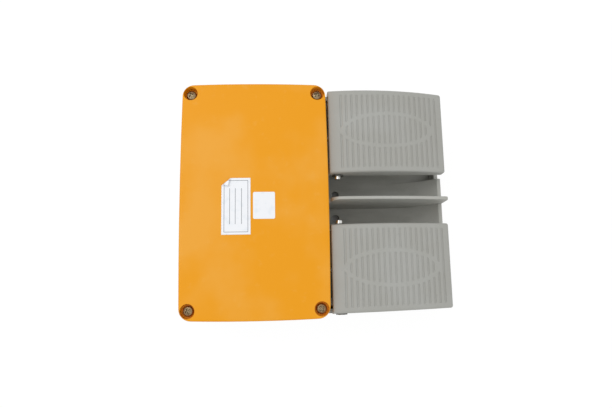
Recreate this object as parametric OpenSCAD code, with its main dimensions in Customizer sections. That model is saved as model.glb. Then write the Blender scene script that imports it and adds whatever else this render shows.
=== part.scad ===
// Double-pedal industrial foot switch, sizes in millimetres.
// +Z is up, the pedals face -Y, the switch box lies towards +Y and X runs across the width.
// The origin is on the floor under the middle of the whole device.
// Inside the modules, y = 0 is the front edge of the cover, and in_frame() moves it to its place.

/* [Cover] */
// Width of the cover, across both pedals
cover_w = 200; // [190:1:230]
// Depth of the cover, front to back
cover_d = 124; // [116:1:150]
// Height of the cover's top face above the floor
cover_top_z = 60; // [60:1:70]
// Height of the cover itself
cover_h = 14; // [12:0.5:15]
// Thickness of the cover's top and sides
cover_t = 3; // [2.5:0.5:4]
// Plan radius of the cover's corners
corner_r = 10; // [8:0.5:11]
// How far the middle of each side stands out past its ends
side_bow = 0.9; // [0:0.1:1.5]
// Radius of the cover's top edge
edge_r = 1.6; // [0.8:0.2:2.4]
// Screw centres, in from the ends of the width
screw_in_x = 8.8; // [8:0.1:10]
// Screw centres, in from the front and back edges
screw_in_y = 8; // [7.6:0.1:9]
// Diameter of the counterbores
counterbore_d = 12; // [10:0.5:12.5]
// Depth of the counterbores
counterbore_depth = 7.3; // [6:0.1:8]

/* [Base casting] */
// Height of the base's underside above the floor
foot_h = 4; // [3:0.5:6]
// Thickness of the base's floor
floor_t = 4.5; // [4:0.5:6]
// Thickness of the switch box walls
wall = 5; // [4.6:0.1:5.6]
// How far the box walls stand in from the cover's edge
overhang = 1; // [0.5:0.1:1.5]
// Gap between the box rim and the cover, bridged by the gasket
seam_gap = 1; // [0.6:0.1:1.5]
// Reach of the tray in front of the cover
tray_reach = 104; // [103:0.5:112]
// Thickness of the tray's side and front walls
tray_wall = 3.5; // [2.5:0.5:4.5]
// Height of the front rim between the pedals
rim_z = 31; // [27:1:34]
// Depth of the flat top of that rim
rim_land = 3.5; // [2:0.5:6]
// Radius of the hollow ramp behind the rim
ramp_r = 60; // [30:1:70]

/* [Divider fin] */
// Thickness of the fin along its top edge
fin_top_t = 2.5; // [2:0.25:4]
// Thickness of the fin at its foot
fin_foot_t = 4.5; // [4:0.25:7]
// Height of the fin at its highest point
fin_z = 57.7; // [54:0.1:59]
// Radius of the fin's long top curve
fin_r = 418; // [380:1:600]
// Distance of the highest point from the cover
fin_peak = 25; // [20:1:35]

/* [Pedals] */
// Distance from the middle plane to each pedal
pedal_in = 21.9; // [21:0.1:25]
// How far the pedals' outer edges lie in from the cover's sides, at the cover
pedal_side = 4.2; // [3.8:0.1:8]
// How fast the outer edge runs in towards the front
pedal_taper = 0.03; // [0:0.005:0.05]
// Gap between the cover and the pedals
pedal_gap = 1.6; // [1:0.1:2.4]
// Distance from the cover to the pedals' front edge
pedal_reach = 102.2; // [98:0.1:102.4]
// Height of the crown of the pedals
crown_z = 59.2; // [59:0.1:61]
// Radius of the crown
crown_r = 193; // [185:1:240]
// Distance of the crown's highest line from the cover
crown_y = 47.5; // [44:0.5:50]
// Thickness of the pedals' top and skirts
pedal_t = 3; // [2.5:0.25:3.25]
// Radius along the pedals' edges
pedal_edge_r = 2; // [1:0.25:2.5]
// Height of the lower edge of the skirts
skirt_z = 43; // [42.6:0.1:44]
// How far a pedal turns, in degrees
travel = 10; // [7:0.5:10.5]

/* [Tread] */
// Spacing of the grooves across the pedals
tread_pitch = 4.6; // [4:0.1:6]
// Width of a groove
tread_w = 2.1; // [1.2:0.1:2.6]
// Depth of a groove
tread_depth = 0.7; // [0.3:0.05:1]
// Distance from the cover to the first groove
tread_start = 12.6; // [8:0.2:16]
// Plain margin at the ends of the grooves
tread_margin = 4.2; // [3.6:0.1:8]
// Distance from the cover to the middle of the plain oval
oval_y = 52; // [48:0.5:56]
// Half length of the oval, front to back
oval_half_d = 38.6; // [30:0.2:42]
// Half width of the oval
oval_half_w = 14.3; // [10:0.1:24]
// Width of the oval's band
oval_band = 3; // [2:0.1:5]

/* [Pedal hinge] */
// Distance from the cover to the shaft
shaft_y = 9.3; // [8.8:0.1:10]
// Height of the shaft
shaft_z = 45.5; // [44.8:0.1:45.7]
// Diameter of the shaft
shaft_d = 6; // [5:0.5:6]
// How far the inner end of the shaft stands out of the pedal
shaft_stub = 3.9; // [3:0.1:6]
// Radius of the rounded top of the hinge lugs
lug_r = 6; // [5.6:0.1:6.1]
// Thickness of the hinge lugs
lug_t = 6; // [5:0.5:8]
// Outside diameter of the bushes
bush_d = 8; // [7.6:0.1:8.4]
// Radial running clearance of shafts and plungers
run_fit = 0.05; // [0.03:0.01:0.08]
// Radial clearance of parts that are fitted fast
set_fit = 0.02; // [0.01:0.01:0.04]
// Clearance between parts that only just miss each other
air = 0.3; // [0.2:0.05:0.4]

/* [Return springs and stops] */
// Distance from the cover to the return springs
spring_y = 45; // [40:1:52]
// Mean radius of the spring's coils
spring_r = 8; // [7:0.25:10]
// Diameter of the spring wire
spring_wire = 1.8; // [1.4:0.1:2]
// Number of turns
spring_turns = 7; // [5:1:9]
// Distance from the cover to the rubber stops
stop_y = 88; // [80:1:90]
// Radius of the rubber stops
stop_r = 6; // [4.5:0.25:7]
// Height of the rubber stops above their posts
stop_h = 8; // [6:0.5:10]

/* [Plungers and switches] */
// Height of the plungers below the shafts
arm = 13; // [12:0.1:14]
// Diameter of the plungers
plunger_d = 6; // [5:0.5:7]
// Length of a switch
switch_l = 49.2; // [44:0.1:52]
// Width of a switch
switch_w = 17.45; // [16:0.05:18]
// Height of a switch without its button
switch_h = 24.2; // [22:0.1:26]
// Distance between a switch's fixing holes
switch_pitch = 25.4; // [22:0.1:28]

/* [Openings] */
// Wall radius of the cable entry
entry_r = 9.25; // [7:0.05:9.5]
// Height of the cable entry
entry_z = 27; // [25:0.5:29]
// Diameter of the fixing holes
fixing_d = 6.5; // [5:0.5:8]
// Distance between the fixing holes in the trough
trough_fixing_w = 22; // [18:0.5:26]
// Distance between the fixing holes in the box
box_fixing_w = 100; // [76:1:106]

/* [Labels] */
// Width of the rating label
label_w = 47.4; // [30:0.1:60]
// Depth of the rating label
label_d = 24; // [18:0.1:30]
// Width of the small blank label
tag_w = 22.6; // [15:0.1:30]
// Depth of the small blank label
tag_d = 18.2; // [12:0.1:25]

/* [Hidden] */
$fn = 48;
eps = 0.01;
LEFT = -1;
RIGHT = 1;
SIDES = [LEFT, RIGHT];

// Heights of the housing
floor_z = foot_h + floor_t;
cover_z = cover_top_z - cover_h;
box_rim_z = cover_z - seam_gap;
front_y = (tray_reach - cover_d) / 2;

// Plan sizes of the box
box_w = cover_w - 2 * overhang;
box_d = cover_d - 2 * overhang;
box_r = corner_r - overhang;
post_x = cover_w / 2 - screw_in_x;
post_y = cover_d / 2 - screw_in_y;
groove_w = 2.4;
groove_wall = (wall - groove_w) / 2;
groove_depth = 2.5;
groove_fit = 0.1;
post_wall = 0.7;
cover_screw_r = 2.5;
post_r = cover_screw_r + post_wall + wall;
screw_len = 24;
pilot_depth = 20;
head_r = 4.3;
head_h = 3.4;

// The pedals
pedal_out = cover_w / 2 - pedal_side;
pedal_mid = (pedal_in + pedal_out) / 2;
lug_in = pedal_in + pedal_t + 2.1;
lug_out = pedal_out - pedal_t - 3.8;
ear_r = lug_r;
front_corner_r = 1.5;
rim_half_w = pedal_in - 0.8;
hub_w = 12;
nose_r = 3;
nose_back = 0.3;
rib_t = 3;
rib_h = 5;
rib_off = 24;
ring_seat = 1.5;
pip_h = 4;
pip_r = spring_r - spring_wire;
pad_r = 5;
clip_t = 0.9;
clip_r = 4.8;
clip_gap = 0.3;
end_out = 1.4;

// The plungers, along y from the pedal to the switch
nose_y = -shaft_y + nose_back;
plunger_z = shaft_z - arm;
head_front = nose_y + nose_r + air;
plunger_head_t = 1.8;
plunger_head_r = 4.5;
stroke = nose_back * (cos(travel) - 1) + arm * sin(travel);
guide_face = head_front + plunger_head_t + stroke + air;
guide_r = 6;
guide_flange_r = 8;
nut_af = 17;
nut_t = 5;
wall_in = overhang + wall;
nut_y = wall_in + side_bow;
guide_boss_r = nut_af / 2 / cos(30) + 0.1;
plunger_end = nut_y + nut_t + 2.5;
seal_t = 1.4;
seal_r = 5;
button_r = 2.6;
button_out = 5;
button_in = 3;
switch_y = plunger_end + air + button_out;
switch_z = plunger_z - switch_w / 2;

// The brackets of the switches
plate_t = 2;
bracket_w = 56;
bracket_y0 = switch_y + 1;
bracket_leg_y = switch_y + switch_h + 1.5;
bracket_foot = 12;
pad_z = floor_z + 2.5;
bracket_screw_x = 18;
bracket_screw_y = bracket_leg_y + bracket_foot / 2 + plate_t / 2;
m4_r = 2;
m4_head_r = 3.6;
m4_head_h = 2.6;
m4_end = 1.8;
bracket_grip = 4;
washer_r = 5;
washer_t = 1;
earth_screw_len = 5;
m4_nut_af = 7;
m4_nut_t = 3.2;

// Terminals of the switches
tab_pitch = 17;
tab_w = 8;
tab_h = 7;
tab_t = 1.2;
tab_screw_r = 2.8;
tab_screw_h = 2.2;

// Feet, fixings, cable entry and earth screw
foot_r = 11;
foot_sink = 1;
foot_back_y = cover_d - 18;
foot_front_y = -(tray_reach - 17);
foot_back_x = cover_w / 2 - 24;
foot_front_x = pedal_out - 18;
foot_boss_z = floor_z + 4;
foot_head_z = 1.6;
foot_head_r = 3.8;
foot_head_h = 2.4;
trough_fixing_y = -shaft_y - 1;
box_fixing_y = cover_d - 22;
entry_boss_r = entry_r + 4.5;
entry_boss = 6;
earth_x = -34;
earth_y = cover_d - 20;

// ---------- shared shapes ----------

module in_frame() translate([0, front_y, 0]) children();

// A shape drawn for the right-hand side, or its mirror image
module on_side(side) mirror([side == LEFT ? 1 : 0, 0, 0]) children();

// A side profile drawn as [y, z], pushed out along X from x0 to x1
module across(x0, x1) translate([x0, 0, 0]) rotate([90, 0, 90]) linear_extrude(x1 - x0) children();

// A round bar along X
module bar_x(r, x0, x1) translate([x0, 0, 0]) rotate([0, 90, 0]) cylinder(r = r, h = x1 - x0);

// A round bar along Y
module bar_y(r, y0, y1) translate([0, y0, 0]) rotate([-90, 0, 0]) cylinder(r = r, h = y1 - y0);

// Quarter turn of a circle of radius r about c, from angle a
function arc(c, r, a, sweep = 90, n = 8) =
    [for (i = [0:n]) c + r * [cos(a + sweep * i / n), sin(a + sweep * i / n)]];

// Rectangle with rounded corners whose sides stand out by bow in their middle
function bowed(w, d, r, bow, n = 10) =
    let (a = w / 2 - bow - r, b = d / 2 - bow - r)
    concat(
        [for (i = [1:n - 1]) let (s = 2 * i / n - 1) [w / 2 - bow * s * s, b * s]],
        arc([a, b], r, 0),
        [for (i = [1:n - 1]) let (s = 1 - 2 * i / n) [a * s, d / 2 - bow * s * s]],
        arc([-a, b], r, 90),
        [for (i = [1:n - 1]) let (s = 1 - 2 * i / n) [-w / 2 + bow * s * s, b * s]],
        arc([-a, -b], r, 180),
        [for (i = [1:n - 1]) let (s = 2 * i / n - 1) [a * s, -d / 2 + bow * s * s]],
        arc([a, -b], r, 270));

// Plan of the box, drawn in from its outer face by inset
module box_plan(inset = 0) translate([0, cover_d / 2])
    polygon(bowed(box_w - 2 * inset, box_d - 2 * inset, box_r - min(inset, box_r - 2), side_bow));

// Corner blocks that reach r past each screw centre, with a rounded inner corner
module corner_blocks(r) translate([0, cover_d / 2])
    for (sx = SIDES, sy = SIDES) {
        translate([sx * post_x, sy * post_y]) circle(r);
        translate([sx * (post_x + 10), sy * (post_y + 10 - r / 2)]) square([20, 20 + r], center = true);
        translate([sx * (post_x + 10 - r / 2), sy * (post_y + 10)]) square([20 + r, 20], center = true);
    }

module at_cover_screws() for (sx = SIDES, sy = SIDES)
    translate([sx * post_x, cover_d / 2 + sy * post_y, 0]) children();

// Pan head with its lower face at z = 0, and a cross recess
module pan_head(r, h) difference() {
    rotate_extrude() polygon(concat([[0, 0], [r, 0]], arc([r - h * 0.6, h * 0.4], h * 0.6, 0), [[0, h]]));
    for (a = [0, 90]) rotate(a) translate([-r * 0.55, -r * 0.1, h * 0.45]) cube([r * 1.1, r * 0.2, h]);
}

// Screw pointing down with its head's seat at z = 0
module screw(r, length, hr, hh) {
    pan_head(hr, hh);
    translate([0, 0, -length]) cylinder(r = r, h = length + eps);
}

module hex_nut(af, t, bore_r) difference() {
    cylinder(d = af / cos(30), h = t, $fn = 6);
    translate([0, 0, -1]) cylinder(r = bore_r, h = t + 2);
}

// ---------- the base casting ----------

// Height of the tray's side walls at distance v in front of the cover
function tray_wall_z(v) = shaft_z - (shaft_z - skirt_z) / cos(travel)
    - (v - shaft_y) * tan(travel) - (ear_r - (shaft_z - skirt_z)) - 1;

// Outer edge of the pedals and tray at distance v in front of the cover
function outer_x(v) = pedal_out - pedal_taper * v;

module tray_plan(inset = 0) {
    v = tray_reach - inset;
    x0 = outer_x(0) - inset;
    x1 = outer_x(v) - inset;
    r = max(front_corner_r - inset, 0.8);
    polygon(concat(
        [[-x0, overhang + wall / 2], [x0, overhang + wall / 2]],
        [for (p = arc([x1 - r, -v + r], r, 0, -90)) p],
        [for (p = arc([-x1 + r, -v + r], r, -90, -90)) p]));
}

module tray_walls() intersection() {
    translate([0, 0, foot_h]) linear_extrude(cover_z) difference() {
        tray_plan();
        tray_plan(tray_wall);
    }
    across(-cover_w, cover_w) polygon([
        [overhang + wall / 2, 0], [overhang + wall / 2, tray_wall_z(-overhang)],
        [-tray_reach, tray_wall_z(tray_reach)], [-tray_reach, 0]]);
}

// Raised rim between the pedals, with the hollow ramp that leads up to it
module front_rim() {
    low = floor_z - 0.1;
    run = sqrt(pow(ramp_r, 2) - pow(ramp_r - (rim_z - low), 2));
    ramp_y = -(tray_reach - rim_land) + run;
    across(-rim_half_w, rim_half_w) difference() {
        polygon([[-tray_reach, foot_h + 1], [-tray_reach, rim_z - 1], [-tray_reach + 1, rim_z],
            [ramp_y, rim_z], [ramp_y, foot_h + 1]]);
        translate([ramp_y, low + ramp_r]) circle(ramp_r, $fn = 240);
    }
}

function fin_top(v) = fin_z - fin_r + sqrt(fin_r * fin_r - pow(v - fin_peak, 2));

module centre_fin() {
    rear_r = 10;
    rear_v = rear_r + 3;
    nose = 2;
    intersection() {
        across(-fin_foot_t, fin_foot_t) polygon(concat(
            [[overhang + 1, foot_h + 1], [overhang + 1, box_rim_z - 2], [-3, box_rim_z - 2]],
            arc([-rear_v, fin_top(rear_v) - rear_r], rear_r, 0, 90),
            [for (v = [rear_v + 4:6:tray_reach - nose]) [-v, fin_top(v)]],
            arc([-tray_reach + nose, fin_top(tray_reach) - nose], nose, 90, 90, 4),
            [[-tray_reach, foot_h + 1]]));
        translate([0, overhang + 1, 0]) rotate([90, 0, 0]) linear_extrude(tray_reach + 2)
            polygon([[-fin_foot_t / 2, 0], [fin_foot_t / 2, 0], [fin_foot_t / 2, floor_z],
                [fin_top_t / 2, fin_z + 1], [-fin_top_t / 2, fin_z + 1], [-fin_foot_t / 2, floor_z]]);
    }
}

// Underside of the pedals' top plate at distance v in front of the cover
function under_crown(v) = crown_z - crown_r + sqrt(pow(crown_r - pedal_t, 2) - pow(v - crown_y, 2));

// Upright lug with a rounded top, webbed to the box, whose heel stops the pedal's return
module hinge_lug(x0) {
    heel_z = under_crown(pedal_gap) - air;
    across(x0, x0 + lug_t) {
        translate([-shaft_y, shaft_z]) circle(lug_r);
        translate([-shaft_y - lug_r, floor_z - 1]) square([2 * lug_r, shaft_z - floor_z + 1]);
        translate([-shaft_y, floor_z - 1]) square([shaft_y - pedal_gap, heel_z - floor_z + 1]);
        translate([-shaft_y, floor_z - 1]) square([shaft_y + overhang + wall / 2, box_rim_z - 3 - floor_z]);
    }
}

// The stop's top clears the tilted pad of a fully pressed pedal
stop_pad_z = skirt_z + 0.5;
stop_top_z = shaft_z - (shaft_z - stop_pad_z) * cos(travel)
    - (stop_y - shaft_y + pad_r) * sin(travel) - air;
stop_post_z = stop_top_z - stop_h;
spring_seat_z = floor_z + 2;
spring_top_z = under_crown(spring_y) - ring_seat;

module tray_fittings(side) on_side(side) {
    hinge_lug(lug_in);
    hinge_lug(lug_out - lug_t);
    translate([pedal_mid, -stop_y, floor_z - 1]) cylinder(r = stop_r + 1, h = stop_post_z - floor_z + 1);
    translate([pedal_mid, -spring_y, floor_z - 1]) {
        cylinder(r = spring_r + 3, h = spring_seat_z - floor_z + 1);
        cylinder(r = pip_r, h = spring_seat_z - floor_z + 1 + pip_h);
    }
}

module foot_places() for (sx = SIDES) {
    translate([sx * foot_back_x, foot_back_y, 0]) children();
    translate([sx * foot_front_x, foot_front_y, 0]) children();
}

module box_fittings() {
    for (sx = SIDES) translate([sx * pedal_mid, 0, plunger_z]) bar_y(guide_boss_r, overhang, nut_y);
    for (sx = SIDES, dx = SIDES)
        translate([sx * pedal_mid + dx * bracket_screw_x, bracket_screw_y, floor_z - 1])
            cylinder(r = 6, h = pad_z - floor_z + 1);
    translate([earth_x, earth_y, floor_z - 1]) cylinder(r = 7, h = pad_z - floor_z + 1);
    for (sx = SIDES) translate([sx * box_fixing_w / 2, box_fixing_y, floor_z - 1])
        cylinder(d = fixing_d + 8, h = pad_z - floor_z + 1);
    translate([0, 0, entry_z]) bar_y(entry_boss_r, cover_d - wall_in - entry_boss, cover_d - wall_in + 1);
}

module base_bores() {
    at_cover_screws() translate([0, 0, box_rim_z - pilot_depth])
        cylinder(r = cover_screw_r + set_fit, h = pilot_depth + 5);
    for (side = SIDES) on_side(side) {
        for (x = [lug_in, lug_out - lug_t])
            translate([0, -shaft_y, shaft_z]) bar_x(bush_d / 2 + set_fit, x - 1, x + lug_t + 1);
        translate([pedal_mid, 0, plunger_z]) bar_y(guide_r + set_fit, overhang - 1, nut_y + 1);
        translate([pedal_mid, -stop_y, stop_post_z - 6]) cylinder(r = 2.5 + set_fit, h = 7);
        for (dx = SIDES) translate([pedal_mid + dx * bracket_screw_x, bracket_screw_y, foot_h + 1.5])
            cylinder(r = m4_r + set_fit, h = pad_z);
    }
    translate([earth_x, earth_y, foot_h + 1.5]) cylinder(r = m4_r + set_fit, h = pad_z);
    translate([0, 0, entry_z]) bar_y(entry_r, cover_d - wall_in - entry_boss - 1, cover_d);
    for (sx = SIDES) {
        translate([sx * trough_fixing_w / 2, trough_fixing_y, 0]) cylinder(d = fixing_d, h = floor_z + 1);
        translate([sx * box_fixing_w / 2, box_fixing_y, 0]) cylinder(d = fixing_d, h = pad_z + 1);
    }
    foot_places() {
        translate([0, 0, foot_h - 1]) cylinder(r = foot_r + 0.2, h = foot_sink + 1);
        cylinder(r = m4_r + set_fit, h = foot_boss_z - 1.2);
    }
}

module base() in_frame() color("darkgray") difference() {
    union() {
        difference() {
            translate([0, 0, foot_h]) linear_extrude(box_rim_z - foot_h) box_plan();
            translate([0, 0, floor_z]) linear_extrude(box_rim_z) difference() {
                box_plan(wall);
                corner_blocks(post_r);
            }
            translate([0, 0, box_rim_z - groove_depth]) linear_extrude(groove_depth + 1) gasket_plan(0);
        }
        translate([0, 0, foot_h]) linear_extrude(floor_t) tray_plan();
        tray_walls();
        front_rim();
        centre_fin();
        for (side = SIDES) tray_fittings(side);
        box_fittings();
        foot_places() translate([0, 0, floor_z - 1]) cylinder(r = 6, h = foot_boss_z - floor_z + 1);
    }
    base_bores();
}

// Ring that runs along the rim and passes inside the cover screws
module gasket_plan(fit) difference() {
    difference() {
        box_plan(groove_wall + fit);
        corner_blocks(cover_screw_r + groove_wall + post_wall + fit);
    }
    difference() {
        box_plan(groove_wall + groove_w - fit);
        corner_blocks(cover_screw_r + groove_wall + groove_w + post_wall - fit);
    }
}

module cover_gasket() in_frame() color("black")
    translate([0, 0, box_rim_z - groove_depth]) linear_extrude(groove_depth + seam_gap) gasket_plan(groove_fit);

// ---------- the cover ----------

// Points round the cover at height z, drawn in by inset
function cover_ring(z, inset) =
    [for (p = bowed(cover_w - 2 * inset, cover_d - 2 * inset, corner_r - inset, side_bow))
        [p[0], p[1] + cover_d / 2, z]];

// Outer shape of the cover, its top edge rounded in steps
module cover_block() loft(concat(
    [cover_ring(cover_z, 0)],
    [for (a = [0:18:90])
        cover_ring(cover_top_z - edge_r * (1 - sin(a)), edge_r * (1 - cos(a)))]));

module cover() in_frame() color("orange") difference() {
    cover_block();
    translate([0, 0, cover_z - 1]) linear_extrude(cover_h - cover_t + 1) difference() {
        box_plan(wall);
        corner_blocks(post_r);
    }
    at_cover_screws() {
        translate([0, 0, cover_top_z - counterbore_depth]) cylinder(d = counterbore_d, h = cover_h);
        translate([0, 0, cover_z - 1]) cylinder(r = cover_screw_r + 0.4, h = cover_h);
    }
}

module cover_screws() in_frame() color("silver") at_cover_screws()
    translate([0, 0, cover_top_z - counterbore_depth]) screw(cover_screw_r, screw_len, head_r, head_h);

// ---------- the pedals ----------

// Side profile under the crown, from v0 to v1 in front of the cover and down to z0
module crown_profile(drop, v0, v1, z0) intersection() {
    translate([-crown_y, crown_z - crown_r]) circle(crown_r - drop, $fn = 360);
    translate([-v1, z0]) square([v1 - v0, crown_z - z0 + 1]);
}

// Plan of a pedal, drawn in from its sides by inset
module pedal_plan(inset, v0, v1) {
    x0 = pedal_in + inset;
    x1 = outer_x(v1) - inset;
    r = front_corner_r;
    polygon(concat([[x0, -v0], [outer_x(v0) - inset, -v0]],
        arc([x1 - r, -v1 + r], r, 0, -90, 6), arc([x0 + r, -v1 + r], r, -90, -90, 6)));
}

// Cutter that bevels the crowned edge at x, turning outwards towards side
module crown_bevel(c, side) translate([0, -crown_y, crown_z - crown_r]) rotate([0, 90, 0])
    rotate_extrude($fn = 180) polygon([[crown_r - c, 0], [crown_r + 2, side * (-c - 2)],
        [crown_r + 2, side * 3], [crown_r - c, side * 3]]);

// Solid through a list of rings with the same number of points
module loft(rings) {
    n = len(rings[0]);
    m = len(rings);
    polyhedron(
        points = [for (ring = rings) each ring],
        faces = concat(
            [[for (i = [0:n - 1]) i]],
            [[for (i = [0:n - 1]) n * m - 1 - i]],
            [for (k = [0:m - 2], i = [0:n - 1]) let (j = (i + 1) % n)
                [k * n + i, (k + 1) * n + i, (k + 1) * n + j]],
            [for (k = [0:m - 2], i = [0:n - 1]) let (j = (i + 1) % n)
                [k * n + i, (k + 1) * n + j, k * n + j]]));
}

// Hollow under the top plate, open at the back and below
module pedal_hollow() intersection() {
    across(0, cover_w) crown_profile(pedal_t, -1, pedal_reach - pedal_t, 0);
    linear_extrude(cover_top_z) pedal_plan(pedal_t, -2, pedal_reach);
}

// Arm that hangs from the shaft and pushes the plunger with its round nose
module pedal_arm() across(pedal_mid - hub_w / 2, pedal_mid + hub_w / 2) {
    translate([-shaft_y, shaft_z]) circle(ear_r);
    translate([nose_y, plunger_z]) circle(nose_r);
    polygon([[-shaft_y - ear_r, shaft_z], [nose_y - nose_r, plunger_z], [nose_y + nose_r, plunger_z],
        [nose_y + nose_r, plunger_z + plunger_head_r + 1], [-shaft_y + ear_r, shaft_z]]);
    translate([-shaft_y - ear_r, shaft_z]) square([2 * ear_r - 2, under_crown(shaft_y) - shaft_z + 1]);
}

// Everything up to the middle of the top plate, to trim what grows down from it
module pedal_inside() across(0, cover_w)
    crown_profile(pedal_t / 2, pedal_gap + 1, pedal_reach - pedal_t / 2, 0);

// Stiffening ribs, spring seat and stop pad under the top plate
module pedal_underside() {
    for (x = [pedal_mid - rib_off, pedal_mid + rib_off - rib_t]) across(x, x + rib_t) difference() {
        crown_profile(pedal_t / 2, shaft_y + lug_r + 3, pedal_reach - pedal_t / 2, 0);
        crown_profile(pedal_t + rib_h, 0, pedal_reach, -1);
    }
    intersection() {
        translate([pedal_mid, -spring_y, 0]) {
            translate([0, 0, spring_top_z]) cylinder(r = spring_r + 2.5, h = 8);
            translate([0, 0, spring_top_z - pip_h]) cylinder(r = pip_r, h = 12);
        }
        pedal_inside();
    }
    intersection() {
        translate([pedal_mid, -stop_y, stop_pad_z]) cylinder(r = pad_r, h = 15);
        pedal_inside();
    }
}

// Crowned block with beveled edges
module pedal_block() difference() {
    intersection() {
        across(0, cover_w) crown_profile(0, pedal_gap, pedal_reach, skirt_z);
        linear_extrude(cover_top_z) pedal_plan(0, pedal_gap, pedal_reach);
    }
    translate([pedal_in, 0, 0]) crown_bevel(pedal_edge_r / 2, LEFT);
    translate([outer_x(crown_y), -crown_y, 0]) rotate(-atan(pedal_taper)) translate([0, crown_y, 0])
        crown_bevel(pedal_edge_r / 2, RIGHT);
}

// Half width of the oval at distance v in front of the cover, its edge moved out by grow
function half_oval(v, grow) = (oval_half_w + grow)
    * sqrt(max(0, 1 - pow((v - oval_y) / (oval_half_d + grow), 2)));

// Plan of one groove, which leaves the margins and the oval's band plain
module groove_plan(v) {
    vs = [v - tread_w / 2, v + tread_w / 2];
    ends = [for (w = vs) outer_x(w) - tread_margin];
    band = [for (w = vs) half_oval(w, oval_band / 2)];
    inside = [for (w = vs) half_oval(w, -oval_band / 2)];
    if (max(band) == 0) {
        groove_part(vs, pedal_in + tread_margin, ends);
    } else {
        half = [for (w = band) max(w, oval_band / 2)];
        groove_part(vs, pedal_in + tread_margin, [for (w = half) pedal_mid - w]);
        groove_part(vs, [for (w = half) pedal_mid + w], ends);
    }
    if (min(inside) > 1)
        groove_part(vs, [for (w = inside) pedal_mid - w], [for (w = inside) pedal_mid + w]);
}

// Stretch of a groove; each end is one x, or a pair of them for a slanted end
module groove_part(vs, x0, x1) {
    x = is_list(x0) ? x0 : [x0, x0];
    polygon([[x[0], -vs[0]], [x1[0], -vs[0]], [x1[1], -vs[1]], [x[1], -vs[1]]]);
}

module tread() difference() {
    last = pedal_reach - tread_margin;
    linear_extrude(cover_top_z) for (v = [tread_start:tread_pitch:last]) groove_plan(v);
    across(0, cover_w) crown_profile(tread_depth, 0, pedal_reach, 0);
}

module pedal_shape() difference() {
    union() {
        difference() {
            pedal_block();
            pedal_hollow();
        }
        for (x = [pedal_in, outer_x(shaft_y + ear_r) - pedal_t])
            translate([0, -shaft_y, shaft_z]) bar_x(ear_r, x, x + pedal_t);
        intersection() {
            pedal_arm();
            pedal_inside();
        }
        pedal_underside();
    }
    tread();
    translate([0, -shaft_y, shaft_z]) bar_x(shaft_d / 2 + set_fit, 0, cover_w);
}

module pedal(side) in_frame() on_side(side) pedal_shape();

module left_pedal() color("lightgray") pedal(LEFT);
module right_pedal() color("lightgray") pedal(RIGHT);

// ---------- hinge shafts, clips and bushes ----------

shaft_x0 = pedal_in - shaft_stub;
shaft_x1 = outer_x(shaft_y) + end_out;
clip_x0 = pedal_in - clip_gap - clip_t;
clip_x1 = outer_x(shaft_y - clip_r) + 0.05;
groove_r = shaft_d / 2 - 0.5;

module pedal_shaft(side) in_frame() on_side(side) translate([0, -shaft_y, shaft_z]) difference() {
    bar_x(shaft_d / 2, shaft_x0, shaft_x1);
    for (x = [clip_x0, clip_x1]) difference() {
        bar_x(shaft_d, x - 0.05, x + clip_t + 0.05);
        bar_x(groove_r, x - 1, x + clip_t + 1);
    }
}

module left_pedal_shaft() color("silver") pedal_shaft(LEFT);
module right_pedal_shaft() color("silver") pedal_shaft(RIGHT);

// Open ring that snaps into a groove, with three inner lobes
module shaft_clip(x) translate([x, 0, 0]) rotate([90, 0, 90]) linear_extrude(clip_t) difference() {
    circle(clip_r);
    circle(groove_r + set_fit);
    for (a = [30, 150]) rotate(a) translate([groove_r + 0.6, 0]) circle(0.9, $fn = 16);
    translate([-groove_r * 0.75, -clip_r - 1]) square([groove_r * 1.5, clip_r + 1]);
}

module shaft_clips(side) in_frame() on_side(side) translate([0, -shaft_y, shaft_z])
    for (x = [clip_x0, clip_x1]) shaft_clip(x);

module left_shaft_clips() color("dimgray") shaft_clips(LEFT);
module right_shaft_clips() color("dimgray") shaft_clips(RIGHT);

// Flanged bush, its flange on the side that faces the skirt
module bush(x, towards) translate([x, -shaft_y, shaft_z]) rotate([0, 90 * towards, 0]) difference() {
    union() {
        cylinder(d = bush_d, h = lug_t);
        translate([0, 0, -1]) cylinder(d = bush_d + 3, h = 1);
    }
    translate([0, 0, -2]) cylinder(r = shaft_d / 2 + run_fit, h = lug_t + 4);
}

module pedal_bushes() in_frame() color("tan") for (side = SIDES) on_side(side) {
    bush(lug_in, 1);
    bush(lug_out, -1);
}

// ---------- return springs and stops ----------

// Spring as a ring of points carried along a helix
function coil_ring(t, n = 6) = let (
        h = spring_top_z - spring_seat_z - spring_wire - 0.1,
        a = 360 * spring_turns * t,
        c = spring_seat_z + 0.05 + spring_wire / 2 + h * t)
    [for (i = [0:n - 1]) let (b = 360 * i / n, r = spring_r + spring_wire / 2 * cos(b))
        [r * cos(a), r * sin(a), c + spring_wire / 2 * sin(b)]];

module return_spring(side) in_frame() on_side(side) translate([pedal_mid, -spring_y, 0])
    loft([for (i = [0:spring_turns * 14]) coil_ring(i / (spring_turns * 14))]);

module left_return_spring() color("silver") return_spring(LEFT);
module right_return_spring() color("silver") return_spring(RIGHT);

module pedal_stops() in_frame() color("black") for (side = SIDES) on_side(side)
    translate([pedal_mid, -stop_y, stop_post_z]) rotate_extrude() polygon(concat(
        [[0, -5], [2.5, -5], [2.5, 0], [stop_r, 0]],
        arc([stop_r - 1.5, stop_h - 1.5], 1.5, 0, 90, 4), [[0, stop_h]]));

// ---------- plungers and their guides ----------

module plunger(side) in_frame() on_side(side) translate([pedal_mid, 0, plunger_z]) {
    bar_y(plunger_head_r, head_front, head_front + plunger_head_t);
    bar_y(plunger_d / 2, head_front + plunger_head_t - eps, plunger_end);
}

module left_plunger() color("silver") plunger(LEFT);
module right_plunger() color("silver") plunger(RIGHT);

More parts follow.
